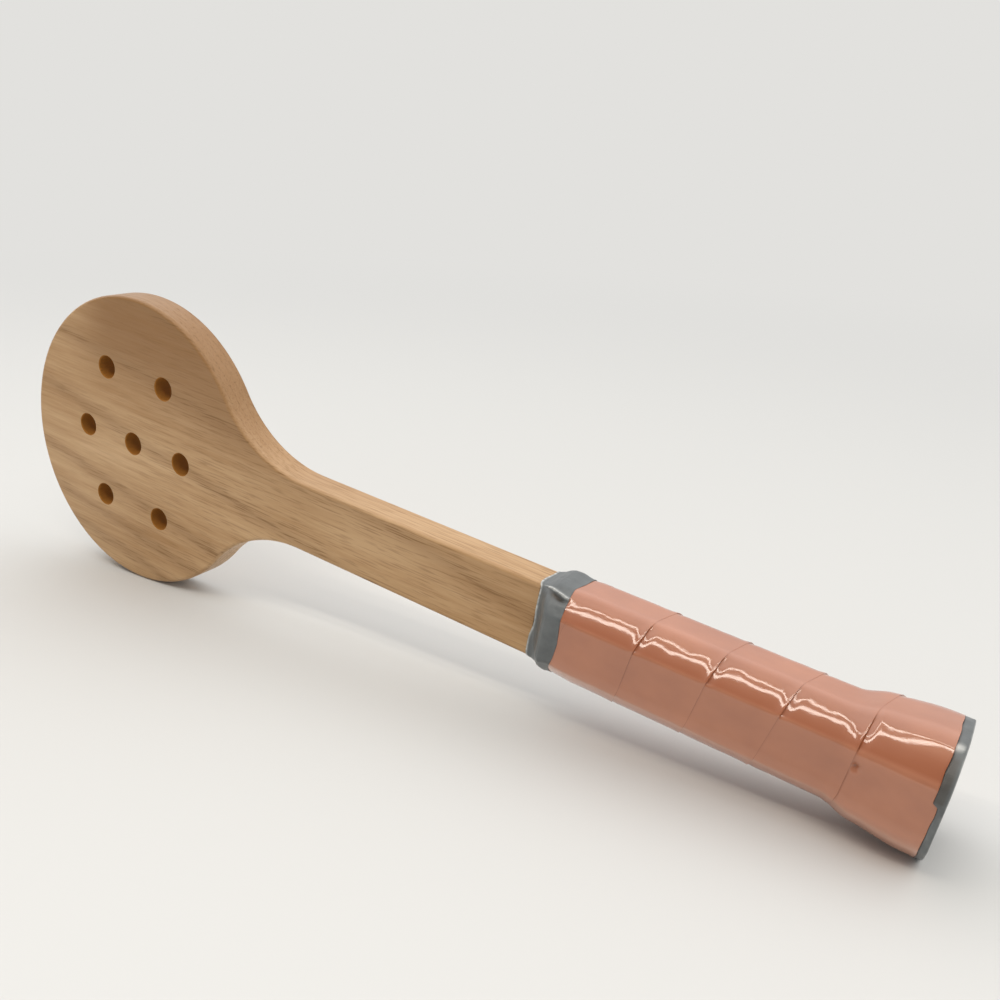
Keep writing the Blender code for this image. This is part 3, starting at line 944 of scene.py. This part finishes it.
    def build(self) -> Object:
        """Model the board.

        Returns:
            The board, in the racket's own frame.
        """
        half = self.thickness / 2
        obj = self.draw_half_outline()
        apply_modifier(obj, "MIRROR", use_axis=(False, False, True), merge_threshold=0.01 * MM)
        bpy.ops.object.mode_set(mode="EDIT")
        bpy.ops.mesh.select_all(action="SELECT")
        bpy.ops.mesh.remove_doubles(threshold=0.01 * MM)
        bpy.ops.mesh.edge_face_add()
        bpy.ops.transform.translate(value=(0, half - self.edge_radius, 0))
        bpy.ops.mesh.extrude_region_move(
            TRANSFORM_OT_translate={"value": (0, 2 * (self.edge_radius - half), 0)})
        bpy.ops.mesh.select_all(action="SELECT")
        bpy.ops.mesh.normals_make_consistent(inside=False)
        for side in (-1, 1):
            self.round_face(obj, side)
        for x, z in self.hole_centres:
            self.drill(obj, x, z)
        for side in (-1, 1):
            pick(obj, "edges", lambda e: all(abs(v.co.y - side * half) < WELD for v in e.verts))
            bpy.ops.mesh.fill(use_beauty=True)
        for x in (self.shoulder_x, self.shoulder_x + self.shoulder_run):
            bpy.ops.mesh.select_all(action="SELECT")
            bpy.ops.mesh.bisect(plane_co=(x, 0, 0), plane_no=(1, 0, 0))
        pick(obj, "verts", lambda v: v.co.x > self.shoulder_x + self.shoulder_run / 2)
        bpy.ops.transform.resize(value=(1, self.tang_half_thickness / half, 1),
                                 center_override=(0, 0, 0))
        bpy.ops.mesh.select_all(action="SELECT")
        bpy.ops.mesh.remove_doubles(threshold=WELD)
        bpy.ops.mesh.normals_make_consistent(inside=False)
        bpy.ops.object.mode_set(mode="OBJECT")
        shade_smooth(obj, 40)
        apply_modifier(obj, "WEIGHTED_NORMAL", keep_sharp=True, weight=90)
        self.mark_holes(obj)
        return obj

    def mark_holes(self, obj: Object) -> None:
        """Write down on each face corner whether it belongs to a hole's wall.

        Args:
            obj: The finished board.
        """
        mark = obj.data.attributes.new("drilled", "FLOAT", "CORNER")
        for face in obj.data.polygons:
            inside = any(math.hypot(face.center.x - x, face.center.z - z)
                         < self.hole_radius + self.hole_mouth for x, z in self.hole_centres)
            for corner in face.loop_indices:
                mark.data[corner].value = float(inside)

    def make(self, finish: OiledOak) -> None:
        """Build the board and dress it."""
        self.hand_over(self.build(), finish, Slot.OAK, "blade")


@dataclass
class HandleCore(SubAssembly):
    """The slabs on the tang and the staples that hold the cap to them. All lie under the grip."""

    def make(self, wood: PlanedLime, wire: GalvanisedWire) -> None:
        """Dress the slabs and the staples."""
        self.dress_nodes(wood, "front_handle_pallet", "rear_handle_pallet")
        self.dress_nodes(wire, "front_cap_staple", "rear_cap_staple")


@dataclass
class ButtCap(SubAssembly):
    """The moulded cap under the flare, and the bare disc that closes its end."""

    def make(self, nylon: MouldedPlastic, abs_plastic: MouldedPlastic) -> None:
        """Dress the cap and its disc."""
        self.dress_nodes(nylon, "butt_cap")
        self.dress_nodes(abs_plastic, "butt_cap_disc")


GRIP_SECTION = Section(half_width=0.0166, half_depth=0.0145, bevel_run=0.0088,
                       front_radius=0.0026, side_radius=0.0060)
WOOD_SECTION = Section(half_width=0.0138, half_depth=0.0066, bevel_run=0.0004,
                       front_radius=0.0015, side_radius=0.0015)
GRIP_START = 0.1985
UPPER_CORNER = 0.146


def grip_swell(x: np.ndarray) -> np.ndarray:
    """How far the grip stands off its plain section: over the cap's skirt and up its flare.

    Args:
        x: Places along the racket.

    Returns:
        The offset outwards in metres.
    """
    skirt = 2.5 * MM * smooth(x, 0.290, 0.300)
    flare = 1.6 * MM * smooth(x, 0.299, 0.315)
    squeeze = 0.55 * MM * (1 - smooth(x, GRIP_START, 0.2085))
    return skirt + flare - squeeze


def trim_start(shares: np.ndarray) -> np.ndarray:
    """Where the butt's tape starts along the racket: its loose end makes a step on the front.

    Args:
        shares: Shares of a turn.

    Returns:
        Places along the racket.
    """
    loose_end = 0.045
    wave = np.sin(shares * math.tau * 6 + 1) + 0.7 * np.sin(shares * math.tau * 15)
    return (318.1 + 1.4 * ((shares - loose_end) % 1.0) + 0.10 * wave) * MM


def mark_light_and_tone(obj: Object, points: np.ndarray, marks: np.ndarray) -> None:
    """Write down on each vertex how much paler its tape is painted, or how much darker where below 0;
    painted highlights and painted shade are among these marks.

    Args:
        obj: The tape.
        points: The points that it was made from.
        marks: The mark of each point.
    """
    flat = points.reshape(-1, 3)
    tree = KDTree(len(flat))
    for number, spot in enumerate(flat):
        tree.insert(spot, number)
    tree.balance()
    layer = obj.data.attributes.new("stretch", "FLOAT", "POINT")
    for vertex in obj.data.vertices:
        layer.data[vertex.index].value = marks.ravel()[tree.find(vertex.co)[1]]


@dataclass
class GripStrip(SubAssembly):
    """The cushioned strip, wound up the handle in a helix with its edges turned down.

    The points across it are given in millimetres from its two edges, and its lining's as shares
    of its width. The seam's places are in millimetres along the racket: four turns have them
    at the same shares of a turn, and two more lie before these and two after them.
    """

    thickness: float = 0.0023
    skived: float = 0.00105
    overlap: float = 0.0012
    tucked_x: float = 0.3176
    tucked: float = 0.0034
    rise: float = 0.00085
    sink: float = 0.00042
    cap_lean: float = 0.00062
    lean_shares: tuple[float, ...] = (-0.087, 0.087, 0.184, 0.330)
    fold_x: float = 0.2990
    dimple_x: float = 0.2970
    dimple_share: float = 0.043
    points_per_turn: int = 220
    points_across: int = 44
    near_left: tuple[float, ...] = (0, 0.7, 1.10, 1.20, 1.35, 1.6, 1.95, 2.4, 2.9, 3.5, 4.2)
    near_right: tuple[float, ...] = (4.2, 3.4, 2.7, 2.1, 1.6, 1.15, 0.75, 0.4, 0.15, 0)
    lining: tuple[float, ...] = (0.999, 0.93, 0.85, 0.5, 0.25, 0.03)
    first_turn: int = -3
    last_turn: int = 4
    seam_shares: tuple[float, ...] = (-0.061, 0.099, 0.157, 0.188, 0.294)
    seam_rows: tuple[tuple[float, ...], ...] = (
        (225.7, 227.6, 228.5, 229.3, 232.2), (248.8, 251.4, 252.3, 253.2, 256.1),
        (270.9, 274.1, 275.2, 276.0, 279.4), (295.2, 296.2, 296.8, 297.3, 300.6))
    seam_before: tuple[tuple[float, float], ...] = ((-3.706, 140.0), (-0.706, 208.7))
    seam_after: tuple[tuple[float, float], ...] = ((4.0, 331.5), (5.0, 376.4))

    def seam(self, turns: np.ndarray) -> np.ndarray:
        """Where the seam lies after a number of turns from the front's middle.

        Args:
            turns: The numbers of turns.

        Returns:
            Places along the racket.
        """
        rows = [(turn + share, place) for turn, row in enumerate(self.seam_rows)
                for share, place in zip(self.seam_shares, row)]
        known = np.array([*self.seam_before, *rows, *self.seam_after])
        return np.interp(turns, known[:, 0], known[:, 1]) * MM

    def relief(self, x: np.ndarray, share: np.ndarray, bend: np.ndarray, left: np.ndarray,
               right: np.ndarray, place: np.ndarray) -> np.ndarray:
        """How far the strip's face stands off its plain surface.

        Args:
            x: Places along the racket.
            share: Shares of a turn.
            bend: From 0 on the four broad flats to 1 on the bevels.
            left: Distances from the strip's edge on the head's side.
            right: Distances from its edge on the butt's side.
            place: The points themselves.

        Returns:
            The offset outwards in metres.
        """
        offset = sum(height * MM * ripple(place, size * MM, seed) for height, size, seed in (
            (0.06, 14, 3.1), (0.055, 5, 9.7), (0.018, 2.5, 14.7)))
        # Each turn rides up over the edge of the one before it, which is pressed down. Both
        # show on the bevels, where the strip is bent, and hardly on the broad flats.
        rise = self.rise * (1 - smooth(right, -3.0 * MM, 3.0 * MM))
        sink = self.sink * (1 - smooth(left, self.overlap - 0.3 * MM, self.overlap + 3.2 * MM))
        facing = np.cos(share * math.tau)
        on_back = smooth(-facing, 0.4, 0.8)
        on_front = smooth(facing, 0.75, 0.9)
        strength = 0.10 + 0.12 * on_back + 0.07 * on_front + 0.90 * bend
        strength *= smooth(x, 0.207, 0.218)
        strength *= 1 - 0.6 * smooth(np.abs(share - 0.75), 0.24, 0.20)
        strength *= 1 - 0.75 * bump_at(share, 0.192, 0.020)
        strength = np.maximum(strength, 0.3 * on_front * smooth(x, 0.286, 0.292))
        offset += strength * (rise * (1 - 0.45 * bump_at(x, self.dimple_x, 4 * MM)) - sink)
        # Pulled over the cap's rim, the film leans the upper front bevel towards the front
        turned = (share + 0.5) % 1.0 - 0.5
        lean = np.mean([np.interp(turned + shift, self.lean_shares, (0, -1, 1, 0))
                        for shift in (-0.012, -0.006, 0, 0.006, 0.012)], axis=0)
        offset += self.cap_lean * smooth(x, 0.2900, 0.3220) * lean
        # The collar has pinched the bevel's upper corner
        offset -= 0.8 * MM * bump_at(share, UPPER_CORNER, 0.012) * bump_at(x, GRIP_START, 2.2 * MM)
        # A pinched fold where the strip climbs on to the cap, and a dimple over the staple
        offset += 0.25 * MM * bump_at(x, self.fold_x, 0.45 * MM) * bump_at(share, 0.178, 0.022)
        dimple = bump_at(x, self.dimple_x, 0.9 * MM) * bump_at(share, self.dimple_share, 0.010)
        offset -= 1.5 * MM * dimple
        # The edge that lies under the next turn is skived
        offset -= 0.10 * MM * strength * (1 - smooth(right, 0, 0.3 * MM))
        hidden = 1 - smooth(left, self.overlap - 0.10 * MM, self.overlap)
        return offset * (1 - hidden) - 1.15 * MM * hidden

    def columns(self, low: np.ndarray, high: np.ndarray) -> np.ndarray:
        """Places across the strip, closer together near its two edges.

        Args:
            low: Where the strip's edge on the head's side lies.
            high: Where its edge on the butt's side lies.

        Returns:
            A row of places along the racket for each pair of edges.
        """
        left = low[:, None] + np.array(self.near_left) * MM
        right = high[:, None] - np.array(self.near_right) * MM
        middle = self.points_across - left.shape[1] - right.shape[1]
        share = np.linspace(0.0, 1.0, middle + 2)[1:-1]
        between = left[:, -1:] + share * (right[:, :1] - left[:, -1:])
        return np.concatenate([left, between, right], axis=1)

    def build(self, run: float) -> Object:
        """Wind the strip.

        Args:
            run: How much of the strip one turn takes up, in metres.

        Returns:
            The strip, in the racket's own frame.
        """
        shares, spots, normals = GRIP_SECTION.outline(self.points_per_turn)
        whole = range(self.first_turn, self.last_turn + 1)
        turns = np.concatenate([turn + shares for turn in whole])
        low, high = self.seam(turns) - self.overlap, self.seam(turns + 1)
        wound = np.tile(shares, len(whole))
        end = trim_start(wound) - 0.1 * MM
        wanted = (high > GRIP_START) & (low < end)
        spots, normals = (np.tile(rows, (len(whole), 1))[wanted] for rows in (spots, normals))
        low, high, end, wound, turns = (row[wanted] for row in (low, high, end, wound, turns))
        x = self.columns(low, high)
        left, right = x - low[:, None], high[:, None] - x
        x = np.clip(x, GRIP_START, end[:, None])
        share = np.broadcast_to(wound[:, None], x.shape)
        bend = np.broadcast_to((2 * normals[:, :1] * normals[:, 1:]) ** 2, x.shape)
        swell = grip_swell(x)
        place = self.stand_off(x, spots, normals, swell)
        swell = swell + self.relief(x, share, bend, left, right, place)
        outer = self.stand_off(x, spots, normals, swell)
        inner = np.array(self.lining)
        depth = np.where(inner > 0.9, self.skived, self.thickness)
        x = np.clip(low[:, None] + inner * (high - low)[:, None], GRIP_START, end[:, None])
        # The strip is thin at the butt's end, where the tape goes over it
        lining = np.where(x > self.tucked_x, self.tucked, grip_swell(x) - depth)
        points = np.concatenate([outer, self.stand_off(x, spots, normals, lining)], axis=1)
        obj = skin_mesh("wound_grip_strip", points, closed=(False, True), capped=True)
        self.map_strip(obj, turns[0] * run, turns[-1] * run)
        shade_smooth(obj, 60)
        return obj

    @staticmethod
    def stand_off(x: np.ndarray, spots: np.ndarray, normals: np.ndarray,
                  offset: np.ndarray) -> np.ndarray:
        """Move points off the handle's section.

        Args:
            x: Places along the racket, a row for each point of the section.
            spots: The points of the section.
            normals: Their outward normals.
            offset: How far each point moves.

        Returns:
            The points.
        """
        depth, across = (spots[:, None, axis] + normals[:, None, axis] * offset
                         for axis in (0, 1))
        return np.stack([x, -depth, across], -1)

    def map_strip(self, obj: Object, start: float, end: float) -> None:
        """Scale the UV map: V from 0 to 1 over the strip's face, U in metres along it.

        Args:
            obj: The strip.
            start: Where the strip starts, in metres along itself.
            end: Where it ends.
        """
        layer = obj.data.uv_layers[0]
        layer.name = "UVMap"
        flat = np.empty(len(obj.data.loops) * 2)
        layer.data.foreach_get("uv", flat)
        spots = flat.reshape(-1, 2)
        whole = self.points_across + len(self.lining)
        spots[:, 0], spots[:, 1] = (start + spots[:, 1] * (end - start),
                                    spots[:, 0] * whole / (self.points_across - 1))
        layer.data.foreach_set("uv", spots.ravel())

    def make(self, finish: GripFilm) -> None:
        """Wind the strip and dress it."""
        self.hand_over(self.build(finish.run), finish, Slot.GRIP_FILM, "grip_band")


@dataclass
class FinishingTape(SubAssembly):
    """The tape collar at the grip's top end: creased where it climbs from the wood to the grip.

    Its end on the grip and its climb up the handle's top and underside are given by a few
    points: a share of a turn or a place in millimetres, and the end's place or the climb there.
    """

    thickness: float = 0.0003
    columns: int = 260
    rows: int = 46
    start_x: float = 0.1898
    ends: tuple[tuple[float, float], ...] = (
        (0.0, 202.6), (0.04, 202.3), (0.10, 201.8), (0.16, 201.4), (0.20, 201.3), (0.25, 202.6),
        (0.30, 203.2), (0.40, 203.0), (0.50, 202.5), (0.75, 200.2), (0.85, 199.6),
        (0.88, 200.2), (0.91, 201.0), (0.95, 202.0), (1.0, 202.6))
    top_climb: tuple[tuple[float, float], ...] = (
        (188.0, 0.0), (190.8, 0.05), (192.5, 0.32), (194.1, 0.72), (195.8, 0.97), (197.7, 1.0))
    low_climb: tuple[tuple[float, float], ...] = (
        (188.0, 0.0), (191.6, 0.05), (193.7, 0.30), (195.3, 0.72), (197.1, 1.0))
    wrinkles: tuple[float, ...] = (0.93, 0.985, 0.05, 0.31, 0.45, 0.56, 0.68)

    def left_edge(self, share: np.ndarray) -> np.ndarray:
        """Where the tape starts on the wood, a little wavy."""
        wave = np.sin(share * math.tau * 3 + 0.6) + 0.6 * np.sin(share * math.tau * 7 + 2)
        return self.start_x + 0.4 * MM * wave

    @staticmethod
    def crease_line(x: np.ndarray) -> np.ndarray:
        """The share of a turn at which the crease runs down the bevel's upper corner."""
        return 0.1615 - 1.57 * (x - 0.197)

    def crease(self, x: np.ndarray, share: np.ndarray) -> np.ndarray:
        """The sharp fold along that line, from 0 to 1."""
        return bump_at(share, self.crease_line(x), 0.0045) * smooth(x, 0.1900, 0.1945)

    def relief(self, x: np.ndarray, share: np.ndarray, place: np.ndarray) -> np.ndarray:
        """The creases of the tape.

        Args:
            x: Places along the racket.
            share: Shares of a turn.
            place: The points themselves.

        Returns:
            The offset outwards in metres.
        """
        offset = 0.10 * MM * ripple(place * np.array([0.5, 1.0, 1.0]), 3.5 * MM, 5.3)
        offset += 0.06 * MM * ripple(place, 2 * MM, 15.3)
        # A sharp crease along the bevel's upper corner, and a dent under it
        offset += 0.55 * MM * self.crease(x, share)
        offset -= 1.1 * MM * bump_at(share, UPPER_CORNER, 0.009) * bump_at(x, 0.1988, 2.0 * MM)
        for spot in self.wrinkles:
            offset += 0.10 * MM * bump_at(share, spot, 0.010)
        return offset

    def build(self) -> Object:
        """Model the collar.

        Returns:
            The collar, in the racket's own frame.
        """
        shares, spots, normals = GRIP_SECTION.outline(self.columns)
        _, wood_spots, wood_normals = WOOD_SECTION.outline(self.columns)
        down = np.linspace(0.0, 1.0, self.rows)
        left = self.left_edge(shares)
        right = np.interp(shares, *np.array(self.ends).T) * MM
        x = left + down[:, None] * (right - left)
        top, low = (np.interp(x / MM, *np.array(climb).T)
                    for climb in (self.top_climb, self.low_climb))
        upward = (1 + normals[:, 1]) / 2
        climb = (top * upward + low * (1 - upward))[..., None]
        spot = wood_spots * (1 - climb) + spots * climb
        out = wood_normals * (1 - climb) + normals * climb
        share = np.broadcast_to(shares, x.shape)
        place = np.stack([x, -spot[..., 0], spot[..., 1]], -1)
        lift = grip_swell(x) + 0.15 * MM + 0.8 * MM * smooth(right - x, 0.3 * MM, 5 * MM)
        lift += self.relief(x, share, place) * smooth(x, 0.189, 0.192)
        spot = spot + out * lift[..., None]
        points = np.stack([x, -spot[..., 0], spot[..., 1]], -1)
        obj = skin_mesh("finishing_tape_collar", points, closed=(False, True))
        self.turn_out(obj)
        mark_light_and_tone(obj, points, self.marks(points, share))
        apply_modifier(obj, "SOLIDIFY", thickness=self.thickness, offset=-1.0)
        shade_smooth(obj, 50)
        return obj

    def marks(self, points: np.ndarray, share: np.ndarray) -> np.ndarray:
        """How much paler the collar is painted, or darker where below 0: a painted highlight on the
        crease's lit ridge, a paler fringe along its left edge, and painted shade in the fold under
        the crease.

        Args:
            points: Its rows of points.
            share: Each point's share of a turn.

        Returns:
            A mark for each point.
        """
        x = points[..., 0]
        fringe = 0.8 * (1 - smooth(x - self.left_edge(share), 0.2 * MM, 0.9 * MM))
        # A painted highlight on the crease's lit ridge, and a paler fringe along the left edge
        white = np.clip(1.2 * self.crease(x, share) + fringe, 0, 1)
        white *= 0.65 + 0.7 * ripple(points, 1.1 * MM, 40.0)
        # Painted shade in the fold under the crease
        shade_and_darkening = bump_at(share, self.crease_line(x) - 0.016, 0.010) * bump_at(x, 0.1975, 3.0 * MM)
        return white - shade_and_darkening

    @staticmethod
    def turn_out(obj: Object) -> None:
        """Turn an open sleeve's faces away from its middle.

        Args:
            obj: The sleeve.
        """
        face = obj.data.polygons[0]
        if face.normal.y * face.center.y + face.normal.z * face.center.z < 0:
            obj.data.flip_normals()

    def make(self, finish: VinylTape) -> None:
        """Model the collar and dress it."""
        self.hand_over(self.build(), finish, Slot.GREY_TAPE, "finishing_tape")


@dataclass
class ButtTrim(SubAssembly):
    """The tape round the butt's rim. It laps over itself at a step on the front."""

    end_x: float = 0.3214
    inside: float = 0.0036
    thickness: float = 0.0004
    columns: int = 168

    def build(self) -> Object:
        """Model the ring.

        Returns:
            The ring, in the racket's own frame.
        """
        shares, spots, normals = GRIP_SECTION.outline(self.columns)
        start = trim_start(shares)
        out = self.inside + self.thickness
        profile = ((0.0, self.inside), (0.0, out - 0.1 * MM), (0.06, out), (0.3, out),
                   (0.6, out), (0.86, out), (0.95, out - 0.08 * MM), (1.0, out - 0.25 * MM),
                   (1.0, self.inside))
        rings = []
        for place, offset in profile:
            x = start + (self.end_x - start) * place
            spot = np.stack([x, -spots[:, 0], spots[:, 1]], -1)
            if offset > self.inside:
                offset = offset + 0.09 * MM * ripple(spot, 2.5 * MM, 31.0)
            rings.append(np.stack([x, -(spots[:, 0] + normals[:, 0] * offset),
                                   spots[:, 1] + normals[:, 1] * offset], -1))
        rings = np.array(rings)
        obj = skin_mesh("butt_trim_ring", rings, closed=(True, True))
        mark_light_and_tone(obj, rings, self.marks(rings, shares, [place for place, _ in profile]))
        shade_smooth(obj, 50)
        return obj

    @staticmethod
    def marks(rings: np.ndarray, shares: np.ndarray, places: list[float]) -> np.ndarray:
        """How much paler the ring is painted, or darker where below 0: paler at its outer edge, a
        painted highlight where the grip's glints run on to it, and darker on the upper front above
        the step.

        Args:
            rings: Its rings of points.
            shares: Each point's share of a turn.
            places: Each ring's place on the tape, from 0 to 1 at the butt's end.

        Returns:
            A mark for each point.
        """
        along = np.array(places)[:, None]
        upper_front = smooth(shares, 0.045, 0.055) * (1 - smooth(shares, 0.145, 0.165))
        # A painted highlight along the ring, where the grip's glints run on to it
        painted_glint = bump_at(shares, 0.178, 0.007) * (1 - smooth(along, 0.4, 0.8))
        painted_glint = painted_glint * (0.7 + 0.6 * ripple(rings, 1.5 * MM, 7.0))
        return (0.45 * smooth(along, 0.9, 1.0) + 1.3 * painted_glint
                - upper_front * (1 - smooth(along, 0.5, 0.95)) * 0.6
                + 0.12 * ripple(rings, 3 * MM, 4.0))

    def make(self, finish: VinylTape) -> None:
        """Model the ring and dress it."""
        self.hand_over(self.build(), finish, Slot.GREY_TAPE, "butt_trim_tape")


# Studio


@dataclass
class Studio:
    """The pale sweep, the soft lamps and the camera. Angles are in degrees, lengths in metres."""

    sweep_radius: float = 8.0
    lit_spot: tuple[float, float, float] = (0.125, 0.0, 0.045)
    tube_reach: float = 1.3
    tube_length: float = 2.1
    tube_shift: float = 0.1
    fill_shift: tuple[float, float, float] = (0.0, -2.1, 0.5)
    fill_size: tuple[float, float] = (3.0, 1.6)
    focal_length: float = 36.0
    camera_place: tuple[float, float, float] = (0.190111, -0.272604, 0.184623)
    camera_angles: tuple[float, float, float] = (70.2456, -3.2143, 30.3680)

    def lay_sweep(self) -> None:
        """A wide paper floor."""
        bpy.ops.object.select_all(action="DESELECT")
        bpy.ops.mesh.primitive_circle_add(vertices=96, radius=self.sweep_radius,
                                          fill_type="NGON", location=(0, 0, 0))
        floor = bpy.context.active_object
        floor.name = floor.data.name = "paper_sweep"
        floor.data.materials.append(PaperSweep().material())

    @staticmethod
    def hang_lamp(name: str, place: Vector, target: Vector, size: tuple[float, float],
                  watts: float, colour: str) -> Object:
        """Hang a rectangular soft lamp, its long side along X.

        Args:
            name: The lamp's name.
            place: Where it hangs.
            target: What it faces.
            size: Its length and its width.
            watts: Its power.
            colour: Its hex colour.

        Returns:
            The lamp.
        """
        light = bpy.data.lights.new(name, "AREA")
        light.shape = "RECTANGLE"
        light.size, light.size_y = size
        light.energy = watts
        light.color = linear(colour)[:3]
        lamp = bpy.data.objects.new(name, light)
        bpy.context.scene.collection.objects.link(lamp)
        back = (place - target) * Vector((0, 1, 1))
        back.normalize()
        side = Vector((1, 0, 0))
        turn = Matrix((side, back.cross(side), back)).transposed()
        lamp.matrix_world = Matrix.Translation(place) @ turn.to_4x4()
        lamp.visible_camera = False
        return lamp

    def hang_lamps(self) -> None:
        """Two narrow tubes over the front, and a broad fill that no gloss shows."""
        grip = Vector(self.lit_spot)
        for name, height, width, watts in (
                ("upper_tube", 67.5, 0.038, 3.0), ("lower_tube", 60.5, 0.078, 5.8)):
            angle = math.radians(height)
            spot = grip + self.tube_reach * Vector((0, -math.cos(angle), math.sin(angle)))
            spot.x -= self.tube_shift
            self.hang_lamp(name, spot, grip, (self.tube_length, width), watts, "FFF6EA")
        fill = self.hang_lamp("front_fill", grip + Vector(self.fill_shift), grip,
                              self.fill_size, 8.2, "FFFAF4")
        fill.visible_glossy = False

    @staticmethod
    def paint_room() -> None:
        """The pale room: dim in front, brightest a little behind overhead, pale behind."""
        world = bpy.data.worlds.new("pale_room")
        bpy.context.scene.world = world
        world.use_nodes = True
        world.node_tree.nodes.clear()
        add = partial(add_node, world.node_tree)
        way = add("SeparateXYZ", {"Vector": add("TexCoord", output="Generated")}).node
        front = add("Math", {0: way.outputs["Y"], 1: -1.0}, operation="MULTIPLY")
        turn = add("Math", {0: way.outputs["Z"], 1: front}, operation="ARCTAN2")
        turn = add("MapRange", {"Value": turn, "From Max": math.pi})
        level = add("ValToRGB", {"Fac": turn}, stops=(
            (0.375, 0.12), (0.41, 0.66), (0.62, 0.92), (0.72, 0.90), (0.84, 0.45), (1.0, 0.38)))
        room = add("Background", {"Color": level, "Strength": 2.0})
        behind = add("Background", {"Color": PaperSweep.far, "Strength": 1.0})
        seen = add("LightPath", output="Is Camera Ray")
        add("OutputWorld", {"Surface": add("MixShader", {0: seen, 1: room, 2: behind})})

    def set_camera(self) -> None:
        """The camera, at the photograph's viewing angle."""
        data = bpy.data.cameras.new("camera")
        data.sensor_width = data.lens = self.focal_length
        data.clip_start = 0.01
        camera = bpy.data.objects.new("camera", data)
        bpy.context.scene.collection.objects.link(camera)
        angles = Euler([math.radians(angle) for angle in self.camera_angles])
        camera.matrix_world = Matrix.LocRotScale(Vector(self.camera_place), angles, None)
        bpy.context.scene.camera = camera

    def make(self) -> None:
        """Set up the whole studio."""
        self.lay_sweep()
        self.hang_lamps()
        self.paint_room()
        self.set_camera()
        bpy.context.scene.view_settings.view_transform = "Standard"


def main() -> None:
    """Build and dress the racket, then the studio."""
    logging.basicConfig(level=logging.INFO, format="%(name)s %(message)s")
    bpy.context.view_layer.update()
    lean = Lean()
    nylon = MouldedPlastic("moulded_black_nylon", "26272A", 0.45)
    abs_plastic = MouldedPlastic("moulded_grey_abs", "54565A", 0.35)
    for part, *finishes in ((Blade(lean), OiledOak(lean)),
                            (HandleCore(lean), PlanedLime(lean), GalvanisedWire()),
                            (ButtCap(lean), nylon, abs_plastic),
                            (GripStrip(lean), GripFilm(lean)),
                            (FinishingTape(lean), VinylTape(lean)),
                            (ButtTrim(lean), VinylTape(lean))):
        part.make(*finishes)
        part.report()
    Studio().make()


if __name__ == "__main__":
    main()
